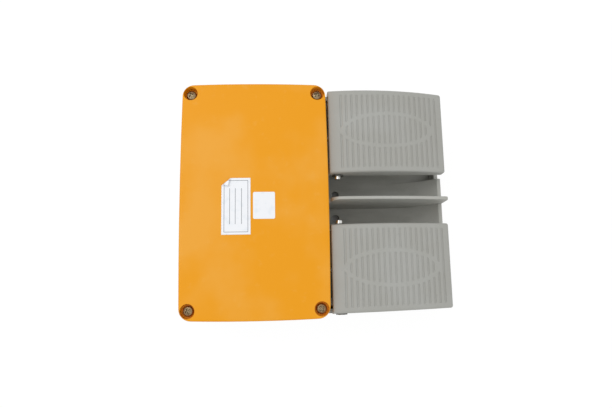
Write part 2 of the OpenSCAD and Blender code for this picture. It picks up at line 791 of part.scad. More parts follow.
module plunger_guides() in_frame() color("goldenrod") for (side = SIDES) on_side(side)
    translate([pedal_mid, 0, plunger_z]) difference() {
        union() {
            bar_y(guide_flange_r, guide_face, overhang);
            bar_y(guide_r, overhang - eps, nut_y + nut_t + 1);
        }
        bar_y(plunger_d / 2 + run_fit, guide_face - 1, nut_y + nut_t + 2);
        bar_y(seal_r + set_fit, guide_face - 1, guide_face + seal_t);
    }

module guide_nuts() in_frame() color("silver") for (side = SIDES) on_side(side)
    translate([pedal_mid, nut_y, plunger_z]) rotate([-90, 0, 0]) hex_nut(nut_af, nut_t, guide_r + set_fit);

module plunger_seals() in_frame() color("black") for (side = SIDES) on_side(side)
    translate([pedal_mid, guide_face + set_fit, plunger_z]) difference() {
        bar_y(seal_r, 0, seal_t - 2 * set_fit);
        bar_y(plunger_d / 2 + air, -1, seal_t + 1);
    }

// ---------- switches ----------

module at_switch() translate([pedal_mid, switch_y, switch_z]) children();

module at_switch_holes() for (dx = SIDES)
    translate([dx * switch_pitch / 2, switch_h * 0.6, 0]) children();

module switch_body(side) in_frame() on_side(side) at_switch() difference() {
    union() {
        translate([-switch_l / 2, 1.2, 0]) cube([switch_l, switch_h - 1.2, switch_w]);
        translate([-switch_l / 2 + 4, 0, 2]) cube([switch_l - 8, 2, switch_w - 4]);
    }
    translate([0, 0, switch_w / 2]) bar_y(button_r + 0.3, -1, button_in + stroke + 1);
    at_switch_holes() translate([0, 0, -1]) cylinder(r = m4_r + 0.1, h = switch_w + 2);
    translate([-switch_l, 1.2 + switch_h * 0.45, switch_w / 2 - 0.4]) cube([2 * switch_l, 0.8, 0.8]);
}

module left_switch() color("darkslategray") switch_body(LEFT);
module right_switch() color("darkslategray") switch_body(RIGHT);

module switch_button(side) in_frame() on_side(side) at_switch() translate([0, 0, switch_w / 2])
    bar_y(button_r, -button_out, button_in);

module left_switch_button() color("firebrick") switch_button(LEFT);
module right_switch_button() color("firebrick") switch_button(RIGHT);

// Three brass tabs with their screws on the back of each switch
module switch_terminals() in_frame() color("gold") for (side = SIDES) on_side(side) at_switch()
    for (x = [-tab_pitch, 0, tab_pitch]) translate([x, switch_h, switch_w / 2]) {
        translate([-tab_w / 2, 0, -tab_h / 2]) cube([tab_w, tab_t, tab_h]);
        translate([0, tab_t - eps, 0]) rotate([-90, 0, 0]) pan_head(tab_screw_r, tab_screw_h);
    }

module switch_brackets() in_frame() color("gainsboro") for (side = SIDES) on_side(side) difference() {
    across(pedal_mid - bracket_w / 2, pedal_mid + bracket_w / 2) {
        translate([bracket_y0, switch_z - plate_t]) square([bracket_leg_y - bracket_y0 + plate_t, plate_t]);
        translate([bracket_leg_y, pad_z]) square([plate_t, switch_z - pad_z]);
        translate([bracket_leg_y, pad_z]) square([bracket_foot, plate_t]);
    }
    at_switch() at_switch_holes() translate([0, 0, -10]) cylinder(r = m4_r + 0.1, h = 11);
    for (dx = SIDES) translate([pedal_mid + dx * bracket_screw_x, bracket_screw_y, pad_z - 1])
        cylinder(r = m4_r + 0.2, h = plate_t + 2);
}

module switch_screws() in_frame() color("silver") for (side = SIDES) on_side(side) at_switch()
    at_switch_holes() translate([0, 0, switch_w]) screw(m4_r, switch_w + plate_t + m4_nut_t + m4_end, m4_head_r, m4_head_h);

module switch_nuts() in_frame() color("silver") for (side = SIDES) on_side(side) at_switch()
    at_switch_holes() translate([0, 0, -plate_t - m4_nut_t]) hex_nut(m4_nut_af, m4_nut_t, m4_r + set_fit);

module bracket_screws() in_frame() color("silver") for (side = SIDES, dx = SIDES) on_side(side)
    translate([pedal_mid + dx * bracket_screw_x, bracket_screw_y, pad_z + plate_t])
        screw(m4_r, plate_t + bracket_grip, m4_head_r, m4_head_h);

// Clamping screw with a cup washer for the protective earth
module earth_screw() in_frame() color("gold") translate([earth_x, earth_y, pad_z]) {
    cylinder(r = washer_r, h = washer_t);
    translate([0, 0, washer_t]) screw(m4_r, earth_screw_len, m4_head_r, m4_head_h);
}

// ---------- feet ----------

module rubber_feet() in_frame() color("black") foot_places() rotate_extrude() polygon([
    [m4_r + 0.2, foot_head_z + foot_head_h], [foot_head_r + 0.4, foot_head_z + foot_head_h],
    [foot_head_r + 0.4, 0], [foot_r - 1.5, 0], [foot_r, 1.5],
    [foot_r, foot_h + foot_sink], [m4_r + 0.2, foot_h + foot_sink]]);

module foot_screws() in_frame() color("silver") foot_places()
    translate([0, 0, foot_head_z + foot_head_h]) rotate([180, 0, 0])
        screw(m4_r, foot_boss_z - foot_head_z - foot_head_h - 2, foot_head_r, foot_head_h);

// ---------- labels ----------

label_t = 0.3;
label_x = -6.5;
label_y = 77.3;
tag_x = -6.1;
tag_y = 54.2;
fold_x = 7.6;
fold_y = 9.3;
curl_r = 10;

// Sheet with one corner cut along its fold, and that corner curling up from the fold
module rating_label() in_frame() color("white") translate([label_x, label_y, cover_top_z]) {
    difference() {
        translate([-label_w / 2, -label_d / 2, 0]) cube([label_w, label_d, label_t]);
        fold_corner();
    }
    intersection() {
        fold_corner();
        curl();
    }
}

module fold_corner() translate([label_w / 2, label_d / 2, -1]) linear_extrude(curl_r)
    polygon([[0, 0], [-fold_x, 0], [0, -fold_y]]);

module curl() translate([label_w / 2 - fold_x, label_d / 2, curl_r])
    rotate([0, 0, -atan2(fold_y, fold_x)]) difference() {
        bar_x(curl_r, -4, 20);
        bar_x(curl_r - label_t, -5, 21);
    }

module blank_label() in_frame() color("white") translate([tag_x, tag_y, cover_top_z])
    linear_extrude(label_t) polygon(bowed(tag_w, tag_d, 1.2, 0, 2));

base();
cover();
cover_gasket();
cover_screws();
left_pedal();
right_pedal();
left_pedal_shaft();
right_pedal_shaft();
left_shaft_clips();
right_shaft_clips();
pedal_bushes();
left_return_spring();
right_return_spring();
pedal_stops();
left_plunger();
right_plunger();
plunger_guides();
guide_nuts();
plunger_seals();
left_switch();
right_switch();
left_switch_button();
right_switch_button();
switch_terminals();
switch_brackets();
switch_screws();
switch_nuts();
bracket_screws();
earth_screw();
rubber_feet();
foot_screws();
rating_label();
blank_label();
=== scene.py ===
"""Dresses the double-pedal foot switch: its finishes, its pedals' tread, its springs, screws and labels.

Sizes are in millimetres and become metres where a mesh is made. +Z is up, the pedals face -Y and
X runs across the width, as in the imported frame.
"""

import logging
import math
from dataclasses import dataclass, field
from enum import Enum
from typing import Any, Callable

import bmesh
import bpy
from mathutils import Matrix, Quaternion, Vector


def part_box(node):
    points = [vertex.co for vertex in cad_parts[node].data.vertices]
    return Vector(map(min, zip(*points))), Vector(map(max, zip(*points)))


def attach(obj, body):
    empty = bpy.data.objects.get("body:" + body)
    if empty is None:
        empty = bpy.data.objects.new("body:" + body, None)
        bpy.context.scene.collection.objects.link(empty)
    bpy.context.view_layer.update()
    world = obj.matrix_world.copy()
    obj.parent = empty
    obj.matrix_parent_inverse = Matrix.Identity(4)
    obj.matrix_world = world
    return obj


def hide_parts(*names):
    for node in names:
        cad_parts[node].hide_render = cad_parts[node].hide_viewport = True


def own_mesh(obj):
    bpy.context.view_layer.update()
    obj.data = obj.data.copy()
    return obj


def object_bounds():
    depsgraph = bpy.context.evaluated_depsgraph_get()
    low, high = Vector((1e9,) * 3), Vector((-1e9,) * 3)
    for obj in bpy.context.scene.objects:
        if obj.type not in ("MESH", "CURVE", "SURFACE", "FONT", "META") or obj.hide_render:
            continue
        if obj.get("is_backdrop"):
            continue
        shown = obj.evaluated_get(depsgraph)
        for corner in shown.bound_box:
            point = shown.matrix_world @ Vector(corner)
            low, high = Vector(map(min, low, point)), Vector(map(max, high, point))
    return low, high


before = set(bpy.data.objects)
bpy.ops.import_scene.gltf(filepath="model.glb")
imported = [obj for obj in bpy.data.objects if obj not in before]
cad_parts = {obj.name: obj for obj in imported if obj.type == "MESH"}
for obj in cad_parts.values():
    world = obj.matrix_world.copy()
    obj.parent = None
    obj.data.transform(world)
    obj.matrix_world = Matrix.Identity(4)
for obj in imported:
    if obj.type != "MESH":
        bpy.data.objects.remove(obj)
CAD_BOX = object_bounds()
LOG = logging.getLogger("foot_switch")
MM = 0.001
Point = tuple[float, float, float]
Faces = list[list[int]]
Solid = tuple[list[Point], Faces]
Socket = bpy.types.NodeSocket


class Side(Enum):
    """The two pedals' sides, by the sign of X."""

    LEFT = -1
    RIGHT = 1

    @property
    def word(self) -> str:
        """The side's word in node and body names."""
        return self.name.lower()


# ---------- small tools ----------


def linear(hex_text: str) -> tuple[float, float, float, float]:
    """Turns an sRGB hex colour into linear RGBA.

    Args:
        hex_text: Six hex digits, such as "EDA227".

    Returns:
        The linear colour, with an alpha of 1.
    """
    parts = [int(hex_text[i : i + 2], 16) / 255 for i in (0, 2, 4)]
    turned = [c / 12.92 if c <= 0.04045 else ((c + 0.055) / 1.055) ** 2.4 for c in parts]
    return (turned[0], turned[1], turned[2], 1.0)


def add(
    tree: bpy.types.NodeTree,
    kind: str,
    settings: dict[str, Any] | None = None,
    links: dict[str | int, Any] | None = None,
) -> bpy.types.Node:
    """Adds a node with its settings and links.

    Args:
        tree: The node tree that gets the node.
        kind: The node's type name.
        settings: Properties of the node, by name.
        links: Inputs by name or number, each a socket to link or a value to set.

    Returns:
        The new node.
    """
    made = tree.nodes.new(kind)
    for name, value in (settings or {}).items():
        setattr(made, name, value)
    for key, value in (links or {}).items():
        socket = made.inputs[key]
        if isinstance(value, Socket):
            tree.links.new(value, socket)
        else:
            socket.default_value = value
    return made


def math_node(tree: bpy.types.NodeTree, operation: str, *values: Any) -> Socket:
    """Adds one step of arithmetic to a tree.

    Args:
        tree: The node tree.
        operation: The Math node's operation.
        *values: Sockets or numbers for its inputs, in order.

    Returns:
        The result's socket.
    """
    return add(tree, "ShaderNodeMath", {"operation": operation}, dict(enumerate(values))).outputs[0]


def step_between(tree: bpy.types.NodeTree, value: Any, low: Any, high: Any) -> Socket:
    """Adds a smooth step that rises from 0 at low to 1 at high.

    Args:
        tree: The node tree.
        value: What is tested, a socket or a number.
        low: Where the step starts.
        high: Where the step ends.

    Returns:
        The step's socket.
    """
    links = {"Value": value, "From Min": low, "From Max": high}
    return add(tree, "ShaderNodeMapRange", {"interpolation_type": "SMOOTHSTEP"}, links).outputs[0]


def show(name: str, mesh: bpy.types.Mesh) -> bpy.types.Object:
    """Links a mesh to the scene as an object at the origin.

    Args:
        name: The object's name.
        mesh: Its mesh, in metres.

    Returns:
        The object.
    """
    made = bpy.data.objects.new(name, mesh)
    bpy.context.scene.collection.objects.link(made)
    return made


def mesh_from(
    name: str,
    points: list[Point],
    faces: Faces,
    smooth_angle: float = 32.0,
) -> bpy.types.Mesh:
    """Makes a closed mesh from points in millimetres, merges doubles and turns faces outwards.

    Args:
        name: The mesh's name.
        points: Points in millimetres.
        faces: Point numbers of each face.
        smooth_angle: Edges sharper than this, in degrees, stay sharp.

    Returns:
        The mesh, in metres.
    """
    mesh = bpy.data.meshes.new(name)
    mesh.from_pydata([(x * MM, y * MM, z * MM) for x, y, z in points], [], faces)
    work = bmesh.new()
    work.from_mesh(mesh)
    bmesh.ops.remove_doubles(work, verts=work.verts, dist=1e-3 * MM)
    bmesh.ops.dissolve_degenerate(work, edges=work.edges, dist=1e-3 * MM)
    bmesh.ops.recalc_face_normals(work, faces=work.faces)
    work.to_mesh(mesh)
    work.free()
    smooth(mesh, smooth_angle)
    return mesh


def smooth(mesh: bpy.types.Mesh, angle: float) -> None:
    """Shades a mesh smooth, apart from its sharp edges.

    Args:
        mesh: The mesh.
        angle: Edges sharper than this, in degrees, stay sharp.
    """
    mesh.polygons.foreach_set("use_smooth", [True] * len(mesh.polygons))
    mesh.set_sharp_from_angle(angle=math.radians(angle))


def even_normals(made: bpy.types.Object) -> bpy.types.Object:
    """Weighs a part's smooth shading by face area, so that flat faces look flat.

    Args:
        made: The part, already shaded smooth with its sharp edges marked.

    Returns:
        The same part.
    """
    weigh = made.modifiers.new("even", "WEIGHTED_NORMAL")
    weigh.keep_sharp = True
    depsgraph = bpy.context.evaluated_depsgraph_get()
    shaded = bpy.data.meshes.new_from_object(made.evaluated_get(depsgraph), depsgraph=depsgraph)
    made.modifiers.clear()
    old, made.data = made.data, shaded
    bpy.data.meshes.remove(old)
    return made


def join(name: str, objects: list[bpy.types.Object]) -> bpy.types.Object:
    """Joins meshes, which keep their materials and smooth shading, into the first of them.

    Args:
        name: The joined object's name.
        objects: The objects, all at the origin.

    Returns:
        The joined object.
    """
    with bpy.context.temp_override(
        active_object=objects[0], selected_objects=objects, selected_editable_objects=objects
    ):
        bpy.ops.object.join()
    objects[0].name = name
    return objects[0]


def circle_points(radius: float, count: int, start: float = 0.0) -> list[tuple[float, float]]:
    """Points round a circle.

    Args:
        radius: The circle's radius.
        count: How many points.
        start: Angle of the first one, in degrees.

    Returns:
        The points, anticlockwise.
    """
    turns = [math.radians(start + 360 * i / count) for i in range(count)]
    return [(radius * math.cos(a), radius * math.sin(a)) for a in turns]


def prism(profile: list[tuple[float, float]], x0: float, x1: float) -> Solid:
    """Pushes a side profile out along X.

    Args:
        profile: Its (y, z) points, in order.
        x0: Where the prism starts.
        x1: Where it ends.

    Returns:
        Points and faces.
    """
    n = len(profile)
    points = [(x0, y, z) for y, z in profile] + [(x1, y, z) for y, z in profile]
    faces = [list(range(n))[::-1], [n + i for i in range(n)]]
    faces += [[i, (i + 1) % n, n + (i + 1) % n, n + i] for i in range(n)]
    return points, faces


def grid_faces(wide: int, deep: int) -> Faces:
    """Joins a grid of points, which are stored row by row, with four-sided faces.

    Args:
        wide: Points in a row.
        deep: How many rows.

    Returns:
        The faces.
    """
    sides = [(j * wide + k, (j + 1) * wide + k) for j in range(deep - 1) for k in range(wide - 1)]
    return [[near, near + 1, far + 1, far] for near, far in sides]


def ring_faces(count: int, rings: int) -> Faces:
    """Joins rings of points, which are stored one after the other, with four-sided faces.

    Args:
        count: Points in a ring.
        rings: How many rings.

    Returns:
        The faces.
    """
    faces = []
    for k in range(rings - 1):
        for i in range(count):
            j = (i + 1) % count
            faces.append([k * count + i, k * count + j, (k + 1) * count + j, (k + 1) * count + i])
    return faces


def turned(
    profile: list[tuple[float, float]], place: Callable[[float, float, float], tuple], count: int = 48
) -> Solid:
    """Revolves a profile that starts and ends on its axis.

    Args:
        profile: Its (radius, height) points.
        place: Turns local x, y and z into a point in the frame.
        count: Steps round the axis.

    Returns:
        Points and faces.
    """
    points: list[Point] = []
    for radius, height in profile:
        points += [place(x, y, height) for x, y in circle_points(radius, count)]
    return points, ring_faces(count, len(profile))


def merged(parts: list[Solid]) -> Solid:
    """Puts several lists of points and faces into one.

    Args:
        parts: Points and faces of each part.

    Returns:
        All points and all faces.
    """
    points: list[Point] = []
    faces: Faces = []
    for more_points, more_faces in parts:
        faces += [[i + len(points) for i in face] for face in more_faces]
        points += more_points
    return points, faces


# ---------- finishes ----------


class Surface:
    """A material that is being built, with its shader and its Object coordinates in millimetres."""

    def __init__(self, name: str, base: str, roughness: float, metallic: float = 0.0) -> None:
        """Starts a material.

        Args:
            name: The real material's name.
            base: Its colour, as sRGB hex.
            roughness: Its roughness, set on the shader's own socket.
            metallic: 1 for a bare metal.
        """
        self.material = bpy.data.materials.new(name)
        self.material.use_nodes = True
        self.tree = self.material.node_tree
        self.tree.nodes.clear()
        links = {"Base Color": linear(base), "Roughness": roughness, "Metallic": metallic}
        self.shader = add(self.tree, "ShaderNodeBsdfPrincipled", None, links)
        add(self.tree, "ShaderNodeOutputMaterial", None, {"Surface": self.shader.outputs[0]})
        where = add(self.tree, "ShaderNodeTexCoord").outputs["Object"]
        links = {0: where, "Scale": 1 / MM}
        self.place = add(self.tree, "ShaderNodeVectorMath", {"operation": "SCALE"}, links).outputs[0]
        self.normal: Socket | None = None

    def noise(
        self, size: float, detail: float = 3.0, stretch: tuple[float, float, float] = (1, 1, 1)
    ) -> Socket:
        """Adds a noise.

        Args:
            size: Distance between its blotches, in millimetres.
            detail: How many finer layers it has.
            stretch: Factors on the coordinates, below 1 to draw the noise out.

        Returns:
            The noise's value.
        """
        mapping = add(self.tree, "ShaderNodeMapping", None, {"Vector": self.place, "Scale": stretch})
        links = {"Vector": mapping.outputs[0], "Scale": 1 / size, "Detail": detail}
        return add(self.tree, "ShaderNodeTexNoise", None, links).outputs[0]

    def tint(self, mask: Socket, other: str, share: float) -> None:
        """Mixes another colour into the base colour.

        Args:
            mask: Where it goes, from 0 to 1.
            other: The other colour, as sRGB hex.
            share: How strong it is where the mask is 1.
        """
        base = self.shader.inputs["Base Color"]
        under = base.links[0].from_socket if base.links else tuple(base.default_value)
        links = {"Factor": math_node(self.tree, "MULTIPLY", mask, share)}
        mixed = add(self.tree, "ShaderNodeMix", {"data_type": "RGBA"}, links)
        colour_a, colour_b, result = mixed.inputs[6], mixed.inputs[7], mixed.outputs[2]
        if isinstance(under, Socket):
            self.tree.links.new(under, colour_a)
        else:
            colour_a.default_value = under
        colour_b.default_value = linear(other)
        self.tree.links.new(result, base)

    def rough(self, mask: Socket, low: float, high: float) -> None:
        """Varies the roughness.

        Args:
            mask: From 0 to 1.
            low: Roughness where the mask is 0.
            high: Roughness where the mask is 1.
        """
        links = {"Value": mask, "To Min": low, "To Max": high}
        varied = add(self.tree, "ShaderNodeMapRange", None, links).outputs[0]
        self.tree.links.new(varied, self.shader.inputs["Roughness"])

    def bump(self, height: Socket, depth: float) -> None:
        """Adds relief.

        Args:
            height: The relief, from 0 to 1.
            depth: Its full height, in millimetres.
        """
        links: dict[str | int, Any] = {"Height": height, "Distance": depth * MM, "Strength": 1.0}
        if self.normal is not None:
            links["Normal"] = self.normal
        self.normal = add(self.tree, "ShaderNodeBump", None, links).outputs[0]
        self.tree.links.new(self.normal, self.shader.inputs["Normal"])

    def spread(self, noise: Socket, low: float, high: float) -> Socket:
        """Turns a noise into a mask that is 0 below low and 1 above high."""
        return step_between(self.tree, noise, low, high)


@dataclass(frozen=True)
class Enamel:
    """Stoved enamel on die-cast aluminium: satin, with a fine orange peel and rubbed patches."""

    name: str
    colour: str
    pale: str
    dark: str
    roughness: float = 0.5
    # Shoes rub the enamel paler in patches of about half a sole's width.
    patch_mm: float = 38.0
    # Dust specks are finer than this, and are drawn as coarse as they need to show.
    speck_mm: float = 2.2
    sheen_mm: float = 14.0
    # Orange peel is about a millimetre from crest to crest.
    peel_mm: float = 1.1
    peel_depth: float = 0.02
    # Dirt lies in streaks from front to back, and painted shade darkens the low trough with it; both fade
    # out above this height.
    grime: float = 0.0
    grime_top: float = 14.0
    grime_fade: float = 9.0
    streak_mm: float = 9.0

    def material(self) -> bpy.types.Material:
        """Builds the material."""
        made = Surface(self.name, self.colour, self.roughness)
        made.shader.inputs["IOR"].default_value = 1.5
        patches = made.spread(made.noise(self.patch_mm, 4.0), 0.42, 0.66)
        made.tint(patches, self.pale, 0.5)
        specks = made.spread(made.noise(self.speck_mm, 2.0), 0.62, 0.72)
        made.tint(specks, self.dark, 0.16)
        if self.grime:
            # Painted shade and dirt: below this height the colour darkens in streaks, where the trough
            # lies in shadow.
            height = add(made.tree, "ShaderNodeSeparateXYZ", None, {0: made.place}).outputs[2]
            low = step_between(made.tree, height, self.grime_top + self.grime_fade, self.grime_top)
            streaks = made.spread(made.noise(self.streak_mm, 5.0, (1.0, 0.22, 1.0)), 0.36, 0.7)
            made.tint(math_node(made.tree, "MULTIPLY", low, streaks), self.dark, self.grime)
        made.rough(made.noise(self.sheen_mm), self.roughness - 0.08, self.roughness + 0.1)
        made.bump(made.noise(self.peel_mm, 2.0), self.peel_depth)
        return made.material


@dataclass(frozen=True)
class Moulding:
    """Moulded plastic: even colour, with the fine grain of a spark-eroded mould."""

    name: str
    colour: str
    pale: str
    roughness: float = 0.42
    # A spark-eroded grain is finer than this, and is drawn as coarse as it needs to show.
    grain_mm: float = 0.9
    grain_depth: float = 0.03
    # The plastic flows out in broad paler patches, and fingers leave small ones.
    patch_mm: float = 60.0
    smudge_mm: float = 7.0
    sheen_mm: float = 18.0

    def material(self) -> bpy.types.Material:
        """Builds the material."""
        made = Surface(self.name, self.colour, self.roughness)
        made.shader.inputs["IOR"].default_value = 1.49
        made.shader.inputs["Specular IOR Level"].default_value = 0.25
        made.tint(made.spread(made.noise(self.patch_mm, 3.0), 0.4, 0.68), self.pale, 0.45)
        made.tint(made.spread(made.noise(self.smudge_mm, 4.0), 0.6, 0.75), self.pale, 0.2)
        made.rough(made.noise(self.sheen_mm, 4.0), self.roughness - 0.05, self.roughness + 0.1)
        made.bump(made.noise(self.grain_mm, 2.0), self.grain_depth)
        return made.material


@dataclass(frozen=True)
class Metal:
    """Bare or plated metal: turned, drawn or rolled, with faint marks along its grain."""

    name: str
    colour: str
    dark: str
    roughness: float = 0.3
    grain: tuple[float, float, float] = (1.0, 1.0, 1.0)
    # Tool marks are finer than this, and are drawn as coarse as they need to show.
    mark_mm: float = 0.35
    depth: float = 0.004
    # Stains are about as wide as a screw's recess, and the sheen changes a little slower.
    stain_mm: float = 2.5
    sheen_mm: float = 3.0

    def material(self) -> bpy.types.Material:
        """Builds the material."""
        made = Surface(self.name, self.colour, self.roughness, 1.0)
        made.tint(made.spread(made.noise(self.stain_mm, 4.0), 0.45, 0.75), self.dark, 0.5)
        made.rough(made.noise(self.sheen_mm), self.roughness - 0.07, self.roughness + 0.14)
        made.bump(made.noise(self.mark_mm, 2.0, self.grain), self.depth)
        return made.material


@dataclass(frozen=True)
class Rubber:
    """Moulded rubber: dull and near black, with a bloom of dust."""

    name: str
    colour: str
    dusty: str
    # Dust lies in small clouds on a fine moulded grain.
    cloud_mm: float = 5.0
    grain_mm: float = 0.6

    def material(self) -> bpy.types.Material:
        """Builds the material."""
        made = Surface(self.name, self.colour, 0.75)
        made.tint(made.spread(made.noise(self.cloud_mm, 5.0), 0.45, 0.75), self.dusty, 0.35)
        made.bump(made.noise(self.grain_mm, 3.0), 0.02)
        return made.material


@dataclass(frozen=True)
class LabelFilm:
    """Coated paper label under a clear film, with a printed frame and plain rules."""

    name: str
    colour: str
    ink: str
    centre: tuple[float, float] = (0.0, 0.0)
    frame_half: tuple[float, float] = (0.0, 0.0)
    line: float = 0.45
    rules: tuple[float, ...] = ()
    rule_half: float = 15.0
    # The paper is faintly mottled with blue, and the film ripples where it has crept.
    mottle_mm: float = 6.0
    ripple_mm: float = 4.0

    def material(self) -> bpy.types.Material:
        """Builds the material."""
        made = Surface(self.name, self.colour, 0.32)
        made.shader.inputs["Coat Weight"].default_value = 0.3
        made.shader.inputs["Coat Roughness"].default_value = 0.15
        made.tint(made.spread(made.noise(self.mottle_mm, 3.0), 0.5, 0.75), "DDE6EE", 0.5)
        if self.frame_half[0] > 0:
            made.tint(self._print(made.tree, made.place), self.ink, 0.85)
        made.bump(made.noise(self.ripple_mm, 2.0), 0.03)
        return made.material

    def _print(self, tree: bpy.types.NodeTree, place: Socket) -> Socket:
        """Builds the mask of the printed lines.

        Args:
            tree: The material's tree.
            place: Object coordinates in millimetres.

        Returns:
            The mask, 1 where there is ink.
        """
        split = add(tree, "ShaderNodeSeparateXYZ", None, {0: place})
        across = math_node(tree, "SUBTRACT", split.outputs[0], self.centre[0])
        along = math_node(tree, "SUBTRACT", split.outputs[1], self.centre[1])
        wide = math_node(tree, "SUBTRACT", math_node(tree, "ABSOLUTE", across), self.frame_half[0])
        deep = math_node(tree, "SUBTRACT", math_node(tree, "ABSOLUTE", along), self.frame_half[1])
        edge = math_node(tree, "ABSOLUTE", math_node(tree, "MAXIMUM", wide, deep))
        ink = math_node(tree, "LESS_THAN", edge, self.line / 2)
        short = math_node(tree, "LESS_THAN", math_node(tree, "ABSOLUTE", across), self.rule_half)
        for rule in self.rules:
            off = math_node(tree, "ABSOLUTE", math_node(tree, "SUBTRACT", along, rule))
            on = math_node(tree, "LESS_THAN", off, self.line / 2)
            ink = math_node(tree, "MAXIMUM", ink, math_node(tree, "MULTIPLY", on, short))
        return ink


# ---------- geometry nodes ----------


class Pattern:
    """A Geometry Nodes tree with named inputs, which is run once and baked to a plain mesh."""

    def __init__(self, name: str, inputs: dict[str, float | bpy.types.Object]) -> None:
        """Starts the tree.

        Args:
            name: The tree's name.
            inputs: Its inputs by name, numbers or objects, with their values.
        """
        self.tree = bpy.data.node_groups.new(name, "GeometryNodeTree")
        face = self.tree.interface
        face.new_socket("Geometry", in_out="INPUT", socket_type="NodeSocketGeometry")
        face.new_socket("Geometry", in_out="OUTPUT", socket_type="NodeSocketGeometry")
        self.values: dict[str, Any] = {}
        for key, value in inputs.items():
            kind = "NodeSocketObject" if isinstance(value, bpy.types.Object) else "NodeSocketFloat"
            made = face.new_socket(key, in_out="INPUT", socket_type=kind)
            self.values[made.identifier] = value
        self.start = add(self.tree, "NodeGroupInput")

    def value(self, name: str) -> Socket:
        """The socket of a named input."""
        return self.start.outputs[name]

    def do(self, operation: str, *values: Any) -> Socket:
        """One step of arithmetic in this tree."""
        return math_node(self.tree, operation, *values)

    def close(self, geometry: Socket, material: bpy.types.Material) -> None:
        """Ends the tree in Realize Instances and Set Material.

        Args:
            geometry: What the tree has made.
            material: Its material.
        """
        real = add(self.tree, "GeometryNodeRealizeInstances", None, {"Geometry": geometry})
        links = {"Geometry": real.outputs[0], "Material": material}
        last = add(self.tree, "GeometryNodeSetMaterial", None, links)
        add(self.tree, "NodeGroupOutput", None, {"Geometry": last.outputs[0]})

    def bake(self, name: str, base: bpy.types.Mesh, material: bpy.types.Material) -> bpy.types.Object:
        """Runs the tree on a mesh and keeps the result as a plain mesh.

        Args:
            name: The finished object's name.
            base: The mesh that the tree starts from.
            material: The material that the result keeps.

        Returns:
            The finished object, at the origin and with no modifier.
        """
        worker = show(name, base)
        modifier = worker.modifiers.new("pattern", "NODES")
        modifier.node_group = self.tree
        for identifier, value in self.values.items():
            modifier[identifier] = value
        graph = bpy.context.evaluated_depsgraph_get()
        baked = bpy.data.meshes.new_from_object(worker.evaluated_get(graph))
        worker.modifiers.remove(modifier)
        worker.data = baked
        baked.materials.clear()
        baked.materials.append(material)
        baked.polygons.foreach_set("material_index", [0] * len(baked.polygons))
        return worker


# ---------- the pedals ----------


